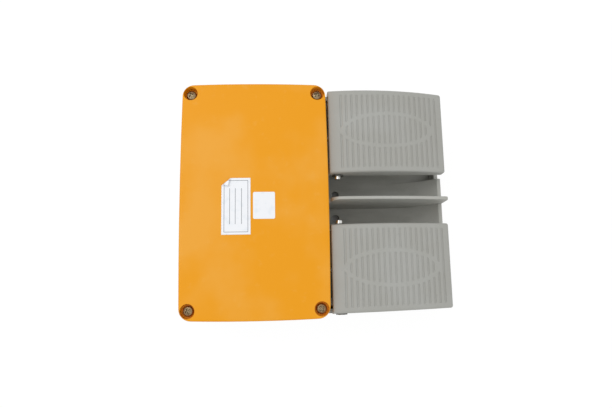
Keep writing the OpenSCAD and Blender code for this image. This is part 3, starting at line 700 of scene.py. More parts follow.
@dataclass
class Pedal:
    """A crowned cast pedal with a grooved tread, skirts, hinge bosses, an arm and spring and stop seats.

    v is the distance in front of the cover's edge, u the distance from the middle plane.
    """

    side: Side
    finish: bpy.types.Material
    # The casting: one arc for the crown, highest at crown_v, and sides that close in towards the front.
    crown_r: float = 193.0
    crown_v: float = 47.5
    taper: float = 0.03
    edge_r: float = 2.0
    back_r: float = 0.8
    corner_r: float = 2.0
    wall: float = 3.0
    skirt_z: float = 43.0
    boss_r: float = 6.0
    cell: float = 0.6
    # The tread: grooves from side to side, which stop at the margins and at the oval band.
    pitch: float = 4.6
    groove_w: float = 2.1
    groove_depth: float = 0.7
    first_groove: float = 12.6
    grooves: int = 19
    margin: float = 4.2
    oval_v: float = 52.0
    oval_half_v: float = 38.6
    oval_half_u: float = 14.3
    oval_band: float = 3.0
    groove_soft: float = 0.45
    # The underside: arm, stiffening ribs, spring seat and stop pad.
    arm_w: float = 12.0
    arm_drop: float = 13.0
    nose_r: float = 3.0
    nose_back: float = 0.3
    rib_off: float = 24.0
    rib_t: float = 3.0
    rib_h: float = 5.0
    rib_reach: float = 81.0
    spring_v: float = 45.0
    seat_r: float = 10.5
    seat_t: float = 2.2
    pip_r: float = 6.2
    pip_h: float = 4.0
    stop_v: float = 88.0
    pad_r: float = 5.0
    pad_top: float = 53.0
    # Places that the frame gives.
    near: float = field(init=False)
    far: float = field(init=False)
    back: float = field(init=False)
    front: float = field(init=False)
    crown_z: float = field(init=False)
    face_y: float = field(init=False)
    shaft_v: float = field(init=False)
    shaft_z: float = field(init=False)

    def __post_init__(self) -> None:
        """Takes the pedal's place and size from its CAD node and its shaft's."""
        low, high = (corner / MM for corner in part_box(f"{self.side.word}_pedal"))
        self.face_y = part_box("cover")[0].y / MM
        self.near, self.far = sorted((abs(low.x), abs(high.x)))
        self.back, self.front = self.face_y - high.y, self.face_y - low.y
        self.crown_z = high.z
        low, high = (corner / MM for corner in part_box(f"{self.side.word}_pedal_shaft"))
        self.shaft_v = self.face_y - (low.y + high.y) / 2
        self.shaft_z = (low.z + high.z) / 2

    @property
    def middle(self) -> float:
        """Distance from the middle plane to the pedal's arm."""
        return (self.near + self.far) / 2

    def outer(self, v: float) -> float:
        """Distance from the middle plane to the outer edge at v."""
        return self.far - self.taper * (v - self.back)

    def crown(self, v: float, drop: float = 0.0) -> float:
        """Height of the crown at v, or of the surface that lies drop inside it."""
        return self.crown_z - self.crown_r + math.sqrt(
            (self.crown_r - drop) ** 2 - (v - self.crown_v) ** 2
        )

    def place(self, u: float, v: float, z: float) -> Point:
        """Turns u, v and z into a point in the frame."""
        return (self.side.value * u, self.face_y - v, z)

    def _edge_steps(self) -> list[float]:
        """Distances from an edge at which its rounding and the plan corner need a line."""
        steps = [self.edge_r * (1 - math.cos(math.radians(15 * i))) for i in range(7)]
        return steps + [(self.edge_r + self.corner_r) / 2, self.corner_r]

    def _top_point(self, near: float, far: float, v: float) -> Point:
        """Finds a point of the top from its distances to the edges.

        Args:
            near: Distance from the inner edge.
            far: Distance from the outer edge.
            v: Distance in front of the cover's edge.

        Returns:
            u, v and z, with the plan corner and the edges rounded.
        """
        side, ahead = min(near, far), self.front - v
        depth = min(side, ahead)
        p, q = self.corner_r - side, self.corner_r - ahead
        if p > 0 and q > 0:
            shrink = max(p, q) / math.hypot(p, q)
            side, v = self.corner_r - p * shrink, self.front - self.corner_r + q * shrink
        u = self.near + side if near < far else self.outer(v) - side
        z = self.crown(v) - self._rounding(depth, self.edge_r)
        return u, v, z - self._rounding(v - self.back, self.back_r)

    @staticmethod
    def _rounding(inside: float, radius: float) -> float:
        """How far an edge of this radius has dropped at a distance inside it."""
        if inside >= radius:
            return 0.0
        return radius - math.sqrt(max(radius**2 - (radius - max(inside, 0.0)) ** 2, 0.0))

    def _bottom(self, v: float, on_side: bool) -> float:
        """Height of the skirt's lower edge, which runs round the hinge boss."""
        reach = self.boss_r**2 - (v - self.shaft_v) ** 2
        if not on_side or reach <= 0:
            return self.skirt_z
        return min(self.skirt_z, self.shaft_z - math.sqrt(reach))

    def _inner(self, u: float, v: float) -> tuple[float, float]:
        """Moves a point of the outline in by the wall's thickness."""
        v = min(v, self.front - self.wall)
        return min(max(u, self.near + self.wall), self.outer(v) - self.wall), v

    def shell(self) -> bpy.types.Mesh:
        """Builds the top, skirts and hollow as one closed surface, fine enough for the grooves."""
        steps = self._edge_steps()
        width = self.outer(self.crown_v) - self.near
        count = round((width - 2 * self.corner_r) / self.cell)
        shares = [i / count for i in range(1, count)]
        backs = [self.back_r * (1 - math.cos(math.radians(22.5 * i))) for i in range(5)]
        start, end = self.back + self.back_r, self.front - self.corner_r
        rows = round((end - start) / (self.pitch / 12))
        vs = [self.back + d for d in backs]
        vs += [start + (end - start) * i / rows for i in range(1, rows)]
        vs += [self.front - d for d in reversed(steps)]
        points: list[Point] = []
        for v in vs:
            span = self.outer(v) - self.near
            nears = steps + [self.corner_r + s * (span - 2 * self.corner_r) for s in shares]
            nears += [span - d for d in reversed(steps)]
            points += [self._top_point(d, span - d, v) for d in nears]
        wide, deep = 2 * len(steps) + len(shares), len(vs)
        faces = grid_faces(wide, deep)
        chain = [j * wide for j in range(deep)] + [(deep - 1) * wide + k for k in range(1, wide - 1)]
        chain += [j * wide + wide - 1 for j in reversed(range(deep))]
        first = len(points)
        for level in ("skirt", "lip", "ceiling"):
            for n, at in enumerate(chain):
                u, v, _ = points[at]
                on_side = n < deep or n >= len(chain) - deep
                low = self._bottom(v, on_side)
                if level != "skirt":
                    u, v = self._inner(u, v)
                    low = low if level == "lip" else self.crown(v, self.wall)
                points.append((u, v, low))
        size = len(chain)
        rings = [chain] + [[first + r * size + n for n in range(size)] for r in range(3)]
        for upper, lower in zip(rings, rings[1:]):
            faces += [[upper[n], upper[n + 1], lower[n + 1], lower[n]] for n in range(size - 1)]
        ceiling = rings[3]
        faces += [
            [ceiling[j], ceiling[j + 1], ceiling[size - 2 - j], ceiling[size - 1 - j]]
            for j in range(deep - 1)
        ]
        faces.append(ceiling[deep - 1 : size - deep + 1])
        backs_round = [rings[1][-1], rings[2][-1], rings[3][-1], rings[3][0], rings[2][0], rings[1][0]]
        faces.append(list(range(wide)) + backs_round)
        placed = [self.place(*p) for p in points]
        return mesh_from(f"{self.side.word}_pedal_shell", placed, faces)

    def underside(self) -> bpy.types.Mesh:
        """Builds the arm, the two stiffening ribs, the spring seat and the stop pad."""
        parts = [self._arm(), *self._ribs(), *self._seats()]
        return mesh_from(f"{self.side.word}_pedal_underside", *merged(parts))

    def _arm(self) -> Solid:
        """Builds the arm, whose round nose pushes the plunger."""
        nose_v, nose_z = self.shaft_v - self.nose_back, self.shaft_z - self.arm_drop
        top = self.crown(self.shaft_v, self.wall) + 1
        arm = [(self.shaft_v - self.boss_r + 2, top), (self.shaft_v - self.boss_r, self.shaft_z)]
        arm += [(nose_v - self.nose_r, nose_z + 5.5)]
        arm += [(nose_v + y, nose_z + z) for y, z in circle_points(self.nose_r, 32)[16:]]
        arm += [(nose_v + self.nose_r, nose_z)]
        arm += [(self.shaft_v + self.boss_r, self.shaft_z), (self.shaft_v + self.boss_r, top)]
        return self._along(arm, self.middle - self.arm_w / 2, self.middle + self.arm_w / 2)

    def _ribs(self) -> list[Solid]:
        """Builds the two ribs, which follow the crown."""
        start = self.shaft_v + self.boss_r + 3
        vs = [start + self.rib_reach * i / 16 for i in range(17)]
        rib = [(v, self.crown(v, self.wall) + 0.5) for v in vs]
        rib += [(v, self.crown(v, self.wall + self.rib_h)) for v in reversed(vs)]
        starts = (self.middle - self.rib_off, self.middle + self.rib_off - self.rib_t)
        return [self._along(rib, u, u + self.rib_t) for u in starts]

    def _seats(self) -> list[Solid]:
        """Builds the spring's seat with its pip, and the pad that meets the stop."""
        seat = self.crown(self.spring_v, self.wall) - 1.5
        spring = [(0, seat - self.pip_h), (self.pip_r, seat - self.pip_h), (self.pip_r, seat)]
        spring += [(self.seat_r, seat), (self.seat_r, seat + self.seat_t), (0, seat + self.seat_t)]
        low = self.skirt_z + 0.5
        pad = [(0, low), (self.pad_r, low), (self.pad_r, self.pad_top), (0, self.pad_top)]
        return [self._post(spring, self.spring_v), self._post(pad, self.stop_v)]

    def _post(self, profile: list[tuple[float, float]], v: float) -> Solid:
        """Revolves a (radius, height) profile about an upright axis on the pedal's middle, at v."""
        return turned(profile, lambda x, y, z: self.place(self.middle + x, v + y, z))

    def _along(self, outline: list[tuple[float, float]], u0: float, u1: float) -> Solid:
        """Pushes a (v, z) outline out from u0 to u1."""
        profile = [(self.face_y - v, z) for v, z in outline]
        return prism(profile, self.side.value * u0, self.side.value * u1)

    def tread(self) -> Pattern:
        """Builds the tree that sinks the grooves, which stop at the margins and at the oval band."""
        made = Pattern(
            f"{self.side.word}_pedal_tread",
            {
                "Edge Y": self.face_y * MM,
                "Pitch": self.pitch * MM,
                "Groove Width": self.groove_w * MM,
                "Groove Depth": self.groove_depth * MM,
                "First Groove": self.first_groove * MM,
                "Last Groove": (self.first_groove + self.pitch * (self.grooves - 1)) * MM,
                "Inner End": (self.near + self.margin) * MM,
                "Outer End": (self.far - self.margin) * MM,
                "Taper": self.taper,
                "Middle": self.middle * MM,
                "Oval V": self.oval_v * MM,
                "Oval Half V": self.oval_half_v * MM,
                "Oval Half U": self.oval_half_u * MM,
                "Oval Band": self.oval_band * MM,
                "Soft": self.groove_soft * MM,
            },
        )
        tree, value, do = made.tree, made.value, made.do
        position = add(tree, "GeometryNodeInputPosition").outputs[0]
        split = add(tree, "ShaderNodeSeparateXYZ", None, {0: position})
        u = do("ABSOLUTE", split.outputs[0])
        v = do("SUBTRACT", value("Edge Y"), split.outputs[1])
        turns = do("DIVIDE", do("SUBTRACT", v, value("First Groove")), value("Pitch"))
        off = do("ABSOLUTE", do("SUBTRACT", turns, do("ROUND", turns)))
        off = do("MULTIPLY", off, value("Pitch"))
        half = do("DIVIDE", value("Groove Width"), 2.0)
        groove = step_between(tree, off, half, do("SUBTRACT", half, value("Soft")))
        masks = [groove]
        first = do("SUBTRACT", value("First Groove"), half)
        last = do("ADD", value("Last Groove"), half)
        masks.append(do("GREATER_THAN", v, first))
        masks.append(do("LESS_THAN", v, last))
        inner_end = do("ADD", value("Inner End"), value("Soft"))
        masks.append(step_between(tree, u, value("Inner End"), inner_end))
        outer = do("SUBTRACT", value("Outer End"), do("MULTIPLY", v, value("Taper")))
        masks.append(step_between(tree, u, outer, do("SUBTRACT", outer, value("Soft"))))
        outside = self._oval(made, u, v, 0.5)
        inside = do("SUBTRACT", 1.0, self._oval(made, u, v, -0.5))
        masks.append(do("MAXIMUM", outside, inside))
        depth = value("Groove Depth")
        for mask in masks:
            depth = do("MULTIPLY", depth, mask)
        normal = add(tree, "GeometryNodeInputNormal").outputs[0]
        up = add(tree, "ShaderNodeSeparateXYZ", None, {0: normal}).outputs[2]
        depth = do("MULTIPLY", depth, do("GREATER_THAN", up, 0.9))
        offset = add(tree, "ShaderNodeCombineXYZ", None, {2: do("MULTIPLY", depth, -1.0)})
        links = {"Geometry": value("Geometry"), "Offset": offset.outputs[0]}
        sunk = add(tree, "GeometryNodeSetPosition", None, links)
        made.close(sunk.outputs[0], self.finish)
        return made

    def _oval(self, made: Pattern, u: Socket, v: Socket, share: float) -> Socket:
        """Adds the step across one edge of the oval band.

        Args:
            made: The tread's tree.
            u: Distance from the middle plane.
            v: Distance in front of the cover's edge.
            share: Which edge, as a share of the band's width from its centre line.

        Returns:
            0 inside that edge and 1 outside it.
        """
        do, value = made.do, made.value
        grow = do("MULTIPLY", value("Oval Band"), share)
        along = do("DIVIDE", do("SUBTRACT", v, value("Oval V")), do("ADD", value("Oval Half V"), grow))
        half_u = do("ADD", value("Oval Half U"), grow)
        across = do("DIVIDE", do("SUBTRACT", u, value("Middle")), half_u)
        reach = do("SQRT", do("ADD", do("POWER", across, 2.0), do("POWER", along, 2.0)))
        soft = do("DIVIDE", value("Soft"), half_u)
        if share < 0:
            return step_between(made.tree, reach, do("SUBTRACT", 1.0, soft), 1.0)
        return step_between(made.tree, reach, 1.0, do("ADD", 1.0, soft))

    def build(self) -> bpy.types.Object:
        """Builds the pedal, which stands for its CAD node.

        Returns:
            The finished pedal.
        """
        name = f"{self.side.word}_pedal_casting"
        top = self.tread().bake(name, self.shell(), self.finish)
        smooth(top.data, 50.0)
        under = show(f"{name}_underside", self.underside())
        under.data.materials.append(self.finish)
        whole = join(name, [top, under])
        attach(whole, f"{self.side.word}_pedal")
        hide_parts(f"{self.side.word}_pedal")
        return whole


# ---------- springs and screws ----------


@dataclass
class ReturnSpring:
    """A coiled compression spring with closed end coils."""

    side: Side
    finish: bpy.types.Material
    wire: float = 1.8
    turns: int = 7
    # The share of its length that is left when the pedal is right down.
    keep: float = 0.86

    def build(self) -> bpy.types.Object:
        """Builds the spring in its CAD node's place.

        Returns:
            The finished spring.
        """
        node = f"{self.side.word}_return_spring"
        low, high = (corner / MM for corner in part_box(node))
        radius = (high.x - low.x - self.wire) / 2
        made = Pattern(
            node,
            {
                "Coil Radius": radius * MM,
                "Wire Radius": self.wire / 2 * MM,
                "Free Height": (high.z - low.z - 3 * self.wire) * MM,
                "Free Turns": float(self.turns - 2),
                "Pitch At Ends": self.wire * MM,
                "Foot": (low.z + self.wire / 2) * MM,
            },
        )
        value = made.value
        lift, coils = value("Foot"), []
        for turns, rise in (
            (1.0, value("Pitch At Ends")),
            (value("Free Turns"), value("Free Height")),
            (1.0, value("Pitch At Ends")),
        ):
            coils.append(self._coil(made, turns, rise, lift))
            lift = made.do("ADD", lift, rise)
        joined = add(made.tree, "GeometryNodeJoinGeometry")
        for coil in coils:
            made.tree.links.new(coil, joined.inputs[0])
        centre = ((low.x + high.x) / 2 * MM, (low.y + high.y) / 2 * MM, 0.0)
        links = {"Geometry": joined.outputs[0], "Translation": centre}
        moved = add(made.tree, "GeometryNodeTransform", None, links)
        made.close(moved.outputs[0], self.finish)
        spring = made.bake(f"{node}_wire", bpy.data.meshes.new(node), self.finish)
        smooth(spring.data, 60.0)
        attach(spring, "housing")
        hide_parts(node)
        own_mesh(spring)
        return spring

    @staticmethod
    def _coil(made: Pattern, turns: Any, rise: Any, lift: Any) -> Socket:
        """Adds a stretch of the coil.

        Args:
            made: The spring's tree.
            turns: How many turns it has.
            rise: How far it climbs.
            lift: The height at which it starts.

        Returns:
            The stretch's mesh.
        """
        links = {
            "Resolution": 40,
            "Rotations": turns,
            "Start Radius": made.value("Coil Radius"),
            "End Radius": made.value("Coil Radius"),
            "Height": rise,
        }
        path = add(made.tree, "GeometryNodeCurveSpiral", None, links)
        at = add(made.tree, "ShaderNodeCombineXYZ", None, {2: lift})
        links = {"Geometry": path.outputs[0], "Translation": at.outputs[0]}
        raised = add(made.tree, "GeometryNodeTransform", None, links)
        links = {"Resolution": 14, "Radius": made.value("Wire Radius")}
        section = add(made.tree, "GeometryNodeCurvePrimitiveCircle", None, links)
        links = {"Curve": raised.outputs[0], "Profile Curve": section.outputs[0], "Fill Caps": True}
        return add(made.tree, "GeometryNodeCurveToMesh", None, links).outputs[0]


@dataclass
class CoverScrews:
    """Four pan-head screws with a cross recess, each left at its own turn."""

    finish: bpy.types.Material
    head_r: float = 4.3
    head_h: float = 3.4
    shank_r: float = 2.5
    length: float = 24.0
    # The cross recess: half its slots' width, its reach and its depth.
    slot_half: float = 0.62
    slot_reach: float = 2.5
    slot_depth: float = 1.7
    # How far the screws stand in from the cover's sides.
    inset_x: float = 8.8
    inset_y: float = 8.0
    # The head's crown and rounded edge, and the slopes of its recess.
    dome: float = 0.9
    edge_r: float = 0.8
    edge_drop: float = 0.9
    slot_end: float = 0.5
    slot_flank: float = 0.3
    slot_rise: float = 0.25

    def _head_height(self, x: float, y: float, radius: float) -> float:
        """Height of the head above its seat, domed and with its cross recess."""
        top = self.head_h - self.dome * (radius / self.head_r) ** 2
        edge = max(0.0, radius - (self.head_r - self.edge_r)) / self.edge_r
        top -= self.edge_drop * (1 - math.sqrt(max(0.0, 1 - edge * edge)))
        reach = min(1.0, max(0.0, (self.slot_reach - radius) / self.slot_end))
        across = min(abs(x), abs(y))
        flank = min(1.0, max(0.0, (self.slot_half + 0.2 - across) / self.slot_flank))
        return top - self.slot_depth * reach * flank * (1 - self.slot_rise * radius / self.slot_reach)

    def _screw(self) -> bpy.types.Mesh:
        """Builds one screw, its seat at the origin."""
        count, rings = 96, 26
        points: list[Point] = []
        for k in range(rings + 1):
            radius = self.head_r * k / rings
            for x, y in circle_points(radius, count):
                points.append((x, y, self._head_height(x, y, radius)))
        tip = -self.length
        shank = [(self.head_r, 0.0), (self.shank_r, 0.0), (self.shank_r, tip), (0.0, tip - 0.5)]
        for radius, height in shank:
            points += [(x, y, height) for x, y in circle_points(radius, count)]
        return mesh_from("cover_screw", points, ring_faces(count, rings + 1 + len(shank)), 45.0)

    def build(self) -> bpy.types.Object:
        """Places the screws in the cover's counterbores.

        Returns:
            The finished screws.
        """
        low, high = (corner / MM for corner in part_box("cover"))
        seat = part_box("cover_screws")[1].z / MM - self.head_h
        screw = show("cover_screw", self._screw())
        made = Pattern(
            "cover_screw_set",
            {
                "Screw": screw,
                "Across": (high.x - low.x - 2 * self.inset_x) * MM,
                "Along": (high.y - low.y - 2 * self.inset_y) * MM,
                "Seat": seat * MM,
                "Centre Y": (low.y + high.y) / 2 * MM,
            },
        )
        tree, value = made.tree, made.value
        links = {"Size X": value("Across"), "Size Y": value("Along"), "Vertices X": 2, "Vertices Y": 2}
        grid = add(tree, "GeometryNodeMeshGrid", None, links)
        links = {1: value("Centre Y"), 2: value("Seat")}
        at = add(tree, "ShaderNodeCombineXYZ", None, links)
        links = {"Geometry": grid.outputs[0], "Translation": at.outputs[0]}
        places = add(tree, "GeometryNodeTransform", None, links)
        links = {2: 0.0, 3: math.pi, "Seed": 4}
        spin = add(tree, "FunctionNodeRandomValue", {"data_type": "FLOAT"}, links)
        turn = add(tree, "ShaderNodeCombineXYZ", None, {2: spin.outputs[1]})
        shape = add(tree, "GeometryNodeObjectInfo", None, {"Object": value("Screw")})
        links = {
            "Points": places.outputs[0],
            "Instance": shape.outputs["Geometry"],
            "Rotation": turn.outputs[0],
        }
        copies = add(tree, "GeometryNodeInstanceOnPoints", None, links)
        made.close(copies.outputs[0], self.finish)
        screws = made.bake("cover_screw_heads", bpy.data.meshes.new("cover_screws"), self.finish)
        smooth(screws.data, 40.0)
        bpy.data.objects.remove(screw)
        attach(screws, "housing")
        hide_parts("cover_screws")
        return screws


# ---------- labels ----------


@dataclass
class RatingLabel:
    """A stuck-down label whose far corner has come loose and folded back over itself."""

    finish: bpy.types.Material
    width: float = 47.4
    depth: float = 24.0
    thickness: float = 0.12
    # The fold line cuts the corner this far along the two sides.
    fold_x: float = 7.6
    fold_y: float = 9.3
    roll_r: float = 0.92
    most_turn: float = 172.0
    cell: float = 0.5

    def _lift(self, x: float, y: float) -> Point:
        """Rolls a point of the flat sheet about the fold line.

        Args:
            x: Distance right of the label's centre.
            y: Distance behind it.

        Returns:
            The point's place, with the sheet's lower face at z = 0.
        """
        normal = Vector((self.fold_y, self.fold_x)).normalized()
        past = (Vector((x, y)) - Vector((self.width / 2, self.depth / 2 - self.fold_y))).dot(normal)
        if past <= 0:
            return x, y, 0.0
        turn = min(past / self.roll_r, math.radians(self.most_turn))
        tail = past - turn * self.roll_r
        along = self.roll_r * math.sin(turn) + tail * math.cos(turn)
        rise = self.roll_r * (1 - math.cos(turn)) + tail * math.sin(turn)
        return x + normal.x * (along - past), y + normal.y * (along - past), rise

    def build(self) -> bpy.types.Object:
        """Builds the label on the cover.

        Returns:
            The finished label.
        """
        low, high = (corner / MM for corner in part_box("rating_label"))
        left, back = low.x, high.y
        nx, ny = round(self.width / self.cell), round(self.depth / self.cell)
        points = []
        for j in range(ny + 1):
            for i in range(nx + 1):
                x = self.width * (i / nx - 0.5)
                y = self.depth * (j / ny - 0.5)
                px, py, pz = self._lift(x, y)
                points.append((left + self.width / 2 + px, back - self.depth / 2 + py, low.z + pz))
        faces = grid_faces(nx + 1, ny + 1)
        label = show("rating_label_sheet", mesh_from("rating_label", points, faces, 70.0))
        thick = label.modifiers.new("thickness", "SOLIDIFY")
        thick.thickness = self.thickness * MM
        thick.offset = 1.0
        label.data.materials.append(self.finish)
        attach(label, "housing")
        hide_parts("rating_label")
        return label


@dataclass
class BlankLabel:
    """A small bare label with rounded corners, its rim a little lower than its middle."""

    finish: bpy.types.Material
    corner_r: float = 1.3
    thickness: float = 0.14

    def build(self) -> bpy.types.Object:
        """Builds the label on the cover.

        Returns:
            The finished label.
        """
        low, high = (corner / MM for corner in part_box("blank_label"))
        inner_x, inner_y = (high.x - low.x) / 2 - self.corner_r, (high.y - low.y) / 2 - self.corner_r
        centre = (low + high) / 2
        ring = []
        for quarter, (sx, sy) in enumerate(((1, 1), (-1, 1), (-1, -1), (1, -1))):
            for x, y in circle_points(self.corner_r, 32, 90 * quarter)[:9]:
                ring.append((sx * inner_x + x, sy * inner_y + y))
        levels = [(1.0, 0.0), (1.0, self.thickness * 0.6), (0.995, self.thickness), (0.5, self.thickness)]
        points = [
            (centre.x + x * share, centre.y + y * share, low.z + z) for share, z in levels for x, y in ring
        ]
        n = len(ring)
        faces = ring_faces(n, len(levels))
        faces += [list(range(n))[::-1], [3 * n + i for i in range(n)]]
        label = show("blank_label_sheet", mesh_from("blank_label", points, faces))
        label.data.materials.append(self.finish)
        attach(label, "housing")
        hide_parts("blank_label")
        return label


# ---------- castings and turned parts kept from the frame ----------


@dataclass
class SmoothPart:
    """A CAD node shown with round faces smooth, and with its chosen edges broken."""

    node: str
    body: str
    slot: str
    finish: bpy.types.Material
    angle: float = 30.0
    break_mm: float = 0.0
    chosen: Callable[[Vector, Vector], bool] | None = None

    def build(self) -> bpy.types.Object:
        """Builds the part from a merged copy of its node.

        Returns:
            The finished part.
        """
        mesh = bpy.data.meshes.new(f"{self.node}_smooth")
        work = bmesh.new()
        work.from_mesh(bpy.data.objects[self.node].data)
        bmesh.ops.remove_doubles(work, verts=work.verts, dist=2e-3 * MM)
        bmesh.ops.dissolve_degenerate(work, edges=work.edges, dist=1e-3 * MM)
        if self.chosen is not None:
            limit = math.radians(0.25)
            bmesh.ops.dissolve_limit(work, angle_limit=limit, verts=work.verts, edges=work.edges)
            self._break_edges(work)
        work.to_mesh(mesh)
        work.free()
        if "custom_normal" in mesh.attributes:
            mesh.attributes.remove(mesh.attributes["custom_normal"])
        smooth(mesh, self.angle)
        mesh.materials.append(self.finish)
        part = even_normals(show(f"{self.node}_part", mesh))
        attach(part, self.body)
        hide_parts(self.node)
        return part

    def _break_edges(self, work: bmesh.types.BMesh) -> None:
        """Rounds the chosen outward edges a little.

        Args:
            work: The part's mesh.
        """
        picked = [
            e
            for e in work.edges
            if e.is_manifold
            and e.calc_face_angle_signed(0.0) > math.radians(40)
            and self.chosen(e.verts[0].co / MM, e.verts[1].co / MM)
        ]
        bmesh.ops.bevel(
            work,
            geom=picked,
            offset=self.break_mm * MM,
            offset_type="OFFSET",
            segments=3,
            profile=0.5,
            affect="EDGES",
            clamp_overlap=True,
        )


def counterbore_mouths() -> Callable[[Vector, Vector], bool]:
    """Makes the test that finds the mouths of the cover's counterbores among its edges."""
    low, high = (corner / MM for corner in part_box("cover"))
    centre, half = (low + high) / 2, (high - low) / 2
    margin, reach = 2.5, 16

    def test(a: Vector, b: Vector) -> bool:
        """Tells whether both ends lie on the top face, near a corner but inside its edge."""
        offs = [Vector((abs(p.x - centre.x), abs(p.y - centre.y))) for p in (a, b)]
        inside = all(p.x < half.x - margin and p.y < half.y - margin for p in offs)
        near = all(p.x > half.x - reach and p.y > half.y - reach for p in offs)
        return min(a.z, b.z) > high.z - 0.01 and near and inside

    return test


def fin_and_rim() -> Callable[[Vector, Vector], bool]:
    """Makes the test that finds the top edges of the fin and of the front rim."""
    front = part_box("base")[0].y / MM
    fin_top, fin_half, fin_back = 47, 2, -14
    rim_top, rim_depth, rim_half = 29.5, 1.5, 22

    def test(a: Vector, b: Vector) -> bool:
        """Tells whether the edge runs along the fin's top or the rim's front."""
        low, off, back = min(a.z, b.z), max(abs(a.x), abs(b.x)), max(a.y, b.y)
        along_fin = low > fin_top and off < fin_half and back < fin_back
        on_rim = low > rim_top and off < rim_half and back < front + rim_depth
        return along_fin or on_rim

    return test


# ---------- the studio ----------


@dataclass
class Studio:
    """A pale floor, soft light and a camera that looks down on the cover."""

    floor_half: float = 3000.0
    stand: Point = (-75.41, 28.76, 487.66)
    target: Point = (-5.46, 9.40, 60.0)
    roll: float = -1.087
    lens: float = 30.71
    # The floor glows white outside a patch that ends under the object's edges.
    shade_half: tuple[float, float] = (92.0, 106.0)
    shade_soft: float = 4.0
    glow: float = 1.05
    glow_share: float = 0.9
    # The sky lights the object with this strength, and is 1 where it is seen.
    sky: float = 0.76

    def floor(self) -> None:
        """Lays the floor, which is white to the camera and plain paper under the object."""
        half = self.floor_half * MM
        corners = [(-half, -half, 0), (half, -half, 0), (half, half, 0), (-half, half, 0)]
        mesh = bpy.data.meshes.new("floor")
        mesh.from_pydata(corners, [], [[0, 1, 2, 3]])
        material = bpy.data.materials.new("white_paper_floor")
        material.use_nodes = True
        tree = material.node_tree
        tree.nodes.clear()
        paper = add(tree, "ShaderNodeBsdfDiffuse", None, {"Color": (0.8, 0.8, 0.8, 1)})
        glow = add(tree, "ShaderNodeEmission", None, {"Color": (1, 1, 1, 1), "Strength": self.glow})
        seen = self._seen(tree)
        place = add(tree, "ShaderNodeTexCoord").outputs["Object"]
        split = add(tree, "ShaderNodeSeparateXYZ", None, {0: place})
        outside = 0.0
        for axis, reach in enumerate(self.shade_half):
            off = math_node(tree, "ABSOLUTE", split.outputs[axis])
            past = step_between(tree, off, (reach - self.shade_soft) * MM, reach * MM)
            outside = math_node(tree, "MAXIMUM", outside, past)
        share = math_node(tree, "MULTIPLY", math_node(tree, "MULTIPLY", seen, outside), self.glow_share)
        links = {0: share, 1: paper.outputs[0], 2: glow.outputs[0]}
        mixed = add(tree, "ShaderNodeMixShader", None, links)
        add(tree, "ShaderNodeOutputMaterial", None, {"Surface": mixed.outputs[0]})
        mesh.materials.append(material)
        show("floor", mesh)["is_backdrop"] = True

    @staticmethod
    def _seen(tree: bpy.types.NodeTree) -> Socket:
        """Adds the test that is 1 for what the camera sees, directly or in a glossy surface."""
        path = add(tree, "ShaderNodeLightPath")
        return math_node(tree, "MAXIMUM", path.outputs["Is Camera Ray"], path.outputs["Is Glossy Ray"])

    def world(self) -> None:
        """Sets an even, pale surrounding light, white to the camera."""
        world = bpy.data.worlds.new("studio")
        bpy.context.scene.world = world
        world.use_nodes = True
        tree = world.node_tree
        tree.nodes.clear()
        seen = self._seen(tree)
        strength = math_node(tree, "ADD", math_node(tree, "MULTIPLY", seen, 1 - self.sky), self.sky)
        links = {"Color": (1, 1, 1, 1), "Strength": strength}
        light = add(tree, "ShaderNodeBackground", None, links)
        add(tree, "ShaderNodeOutputWorld", None, {"Surface": light.outputs[0]})

    def lamp(self, name: str, at: Point, size: float, power: float) -> None:
        """Hangs a soft square lamp that shines on the object.

        Args:
            name: The lamp's name.
            at: Its place, in millimetres.
            size: Its side, in millimetres.
            power: Its power, in watts.
        """
        data = bpy.data.lights.new(name, "AREA")
        data.size = size * MM
        data.energy = power
        lamp = bpy.data.objects.new(name, data)
        bpy.context.scene.collection.objects.link(lamp)
        lamp.location = Vector(at) * MM
        lamp.rotation_euler = (-lamp.location).to_track_quat("-Z", "Y").to_euler()

    def camera(self) -> None:
        """Sets up the camera, with the object's width running up the picture."""
        data = bpy.data.cameras.new("camera")
        data.lens = self.lens
        data.sensor_width = 36.0
        data.clip_start = 0.01
        back = (Vector(self.stand) - Vector(self.target)).normalized()
        right = Vector((1, 0, 0)).cross(back).normalized()
        right.rotate(Quaternion(back, math.radians(self.roll)))
        up = back.cross(right)
        turn = Matrix((right, up, back)).transposed().to_4x4()
        camera = bpy.data.objects.new("camera", data)
        bpy.context.scene.collection.objects.link(camera)
        camera.matrix_world = Matrix.Translation(Vector(self.stand) * MM) @ turn
        bpy.context.scene.camera = camera

    def build(self) -> None:
        """Builds the whole studio."""
        bpy.context.scene.view_settings.view_transform = "Standard"
        self.floor()
        self.world()
        self.lamp("key", (500, 700, 1300), 900, 5.5)
        self.lamp("fill", (-800, -900, 1100), 1200, 1.5)
        self.camera()


# ---------- everything together ----------


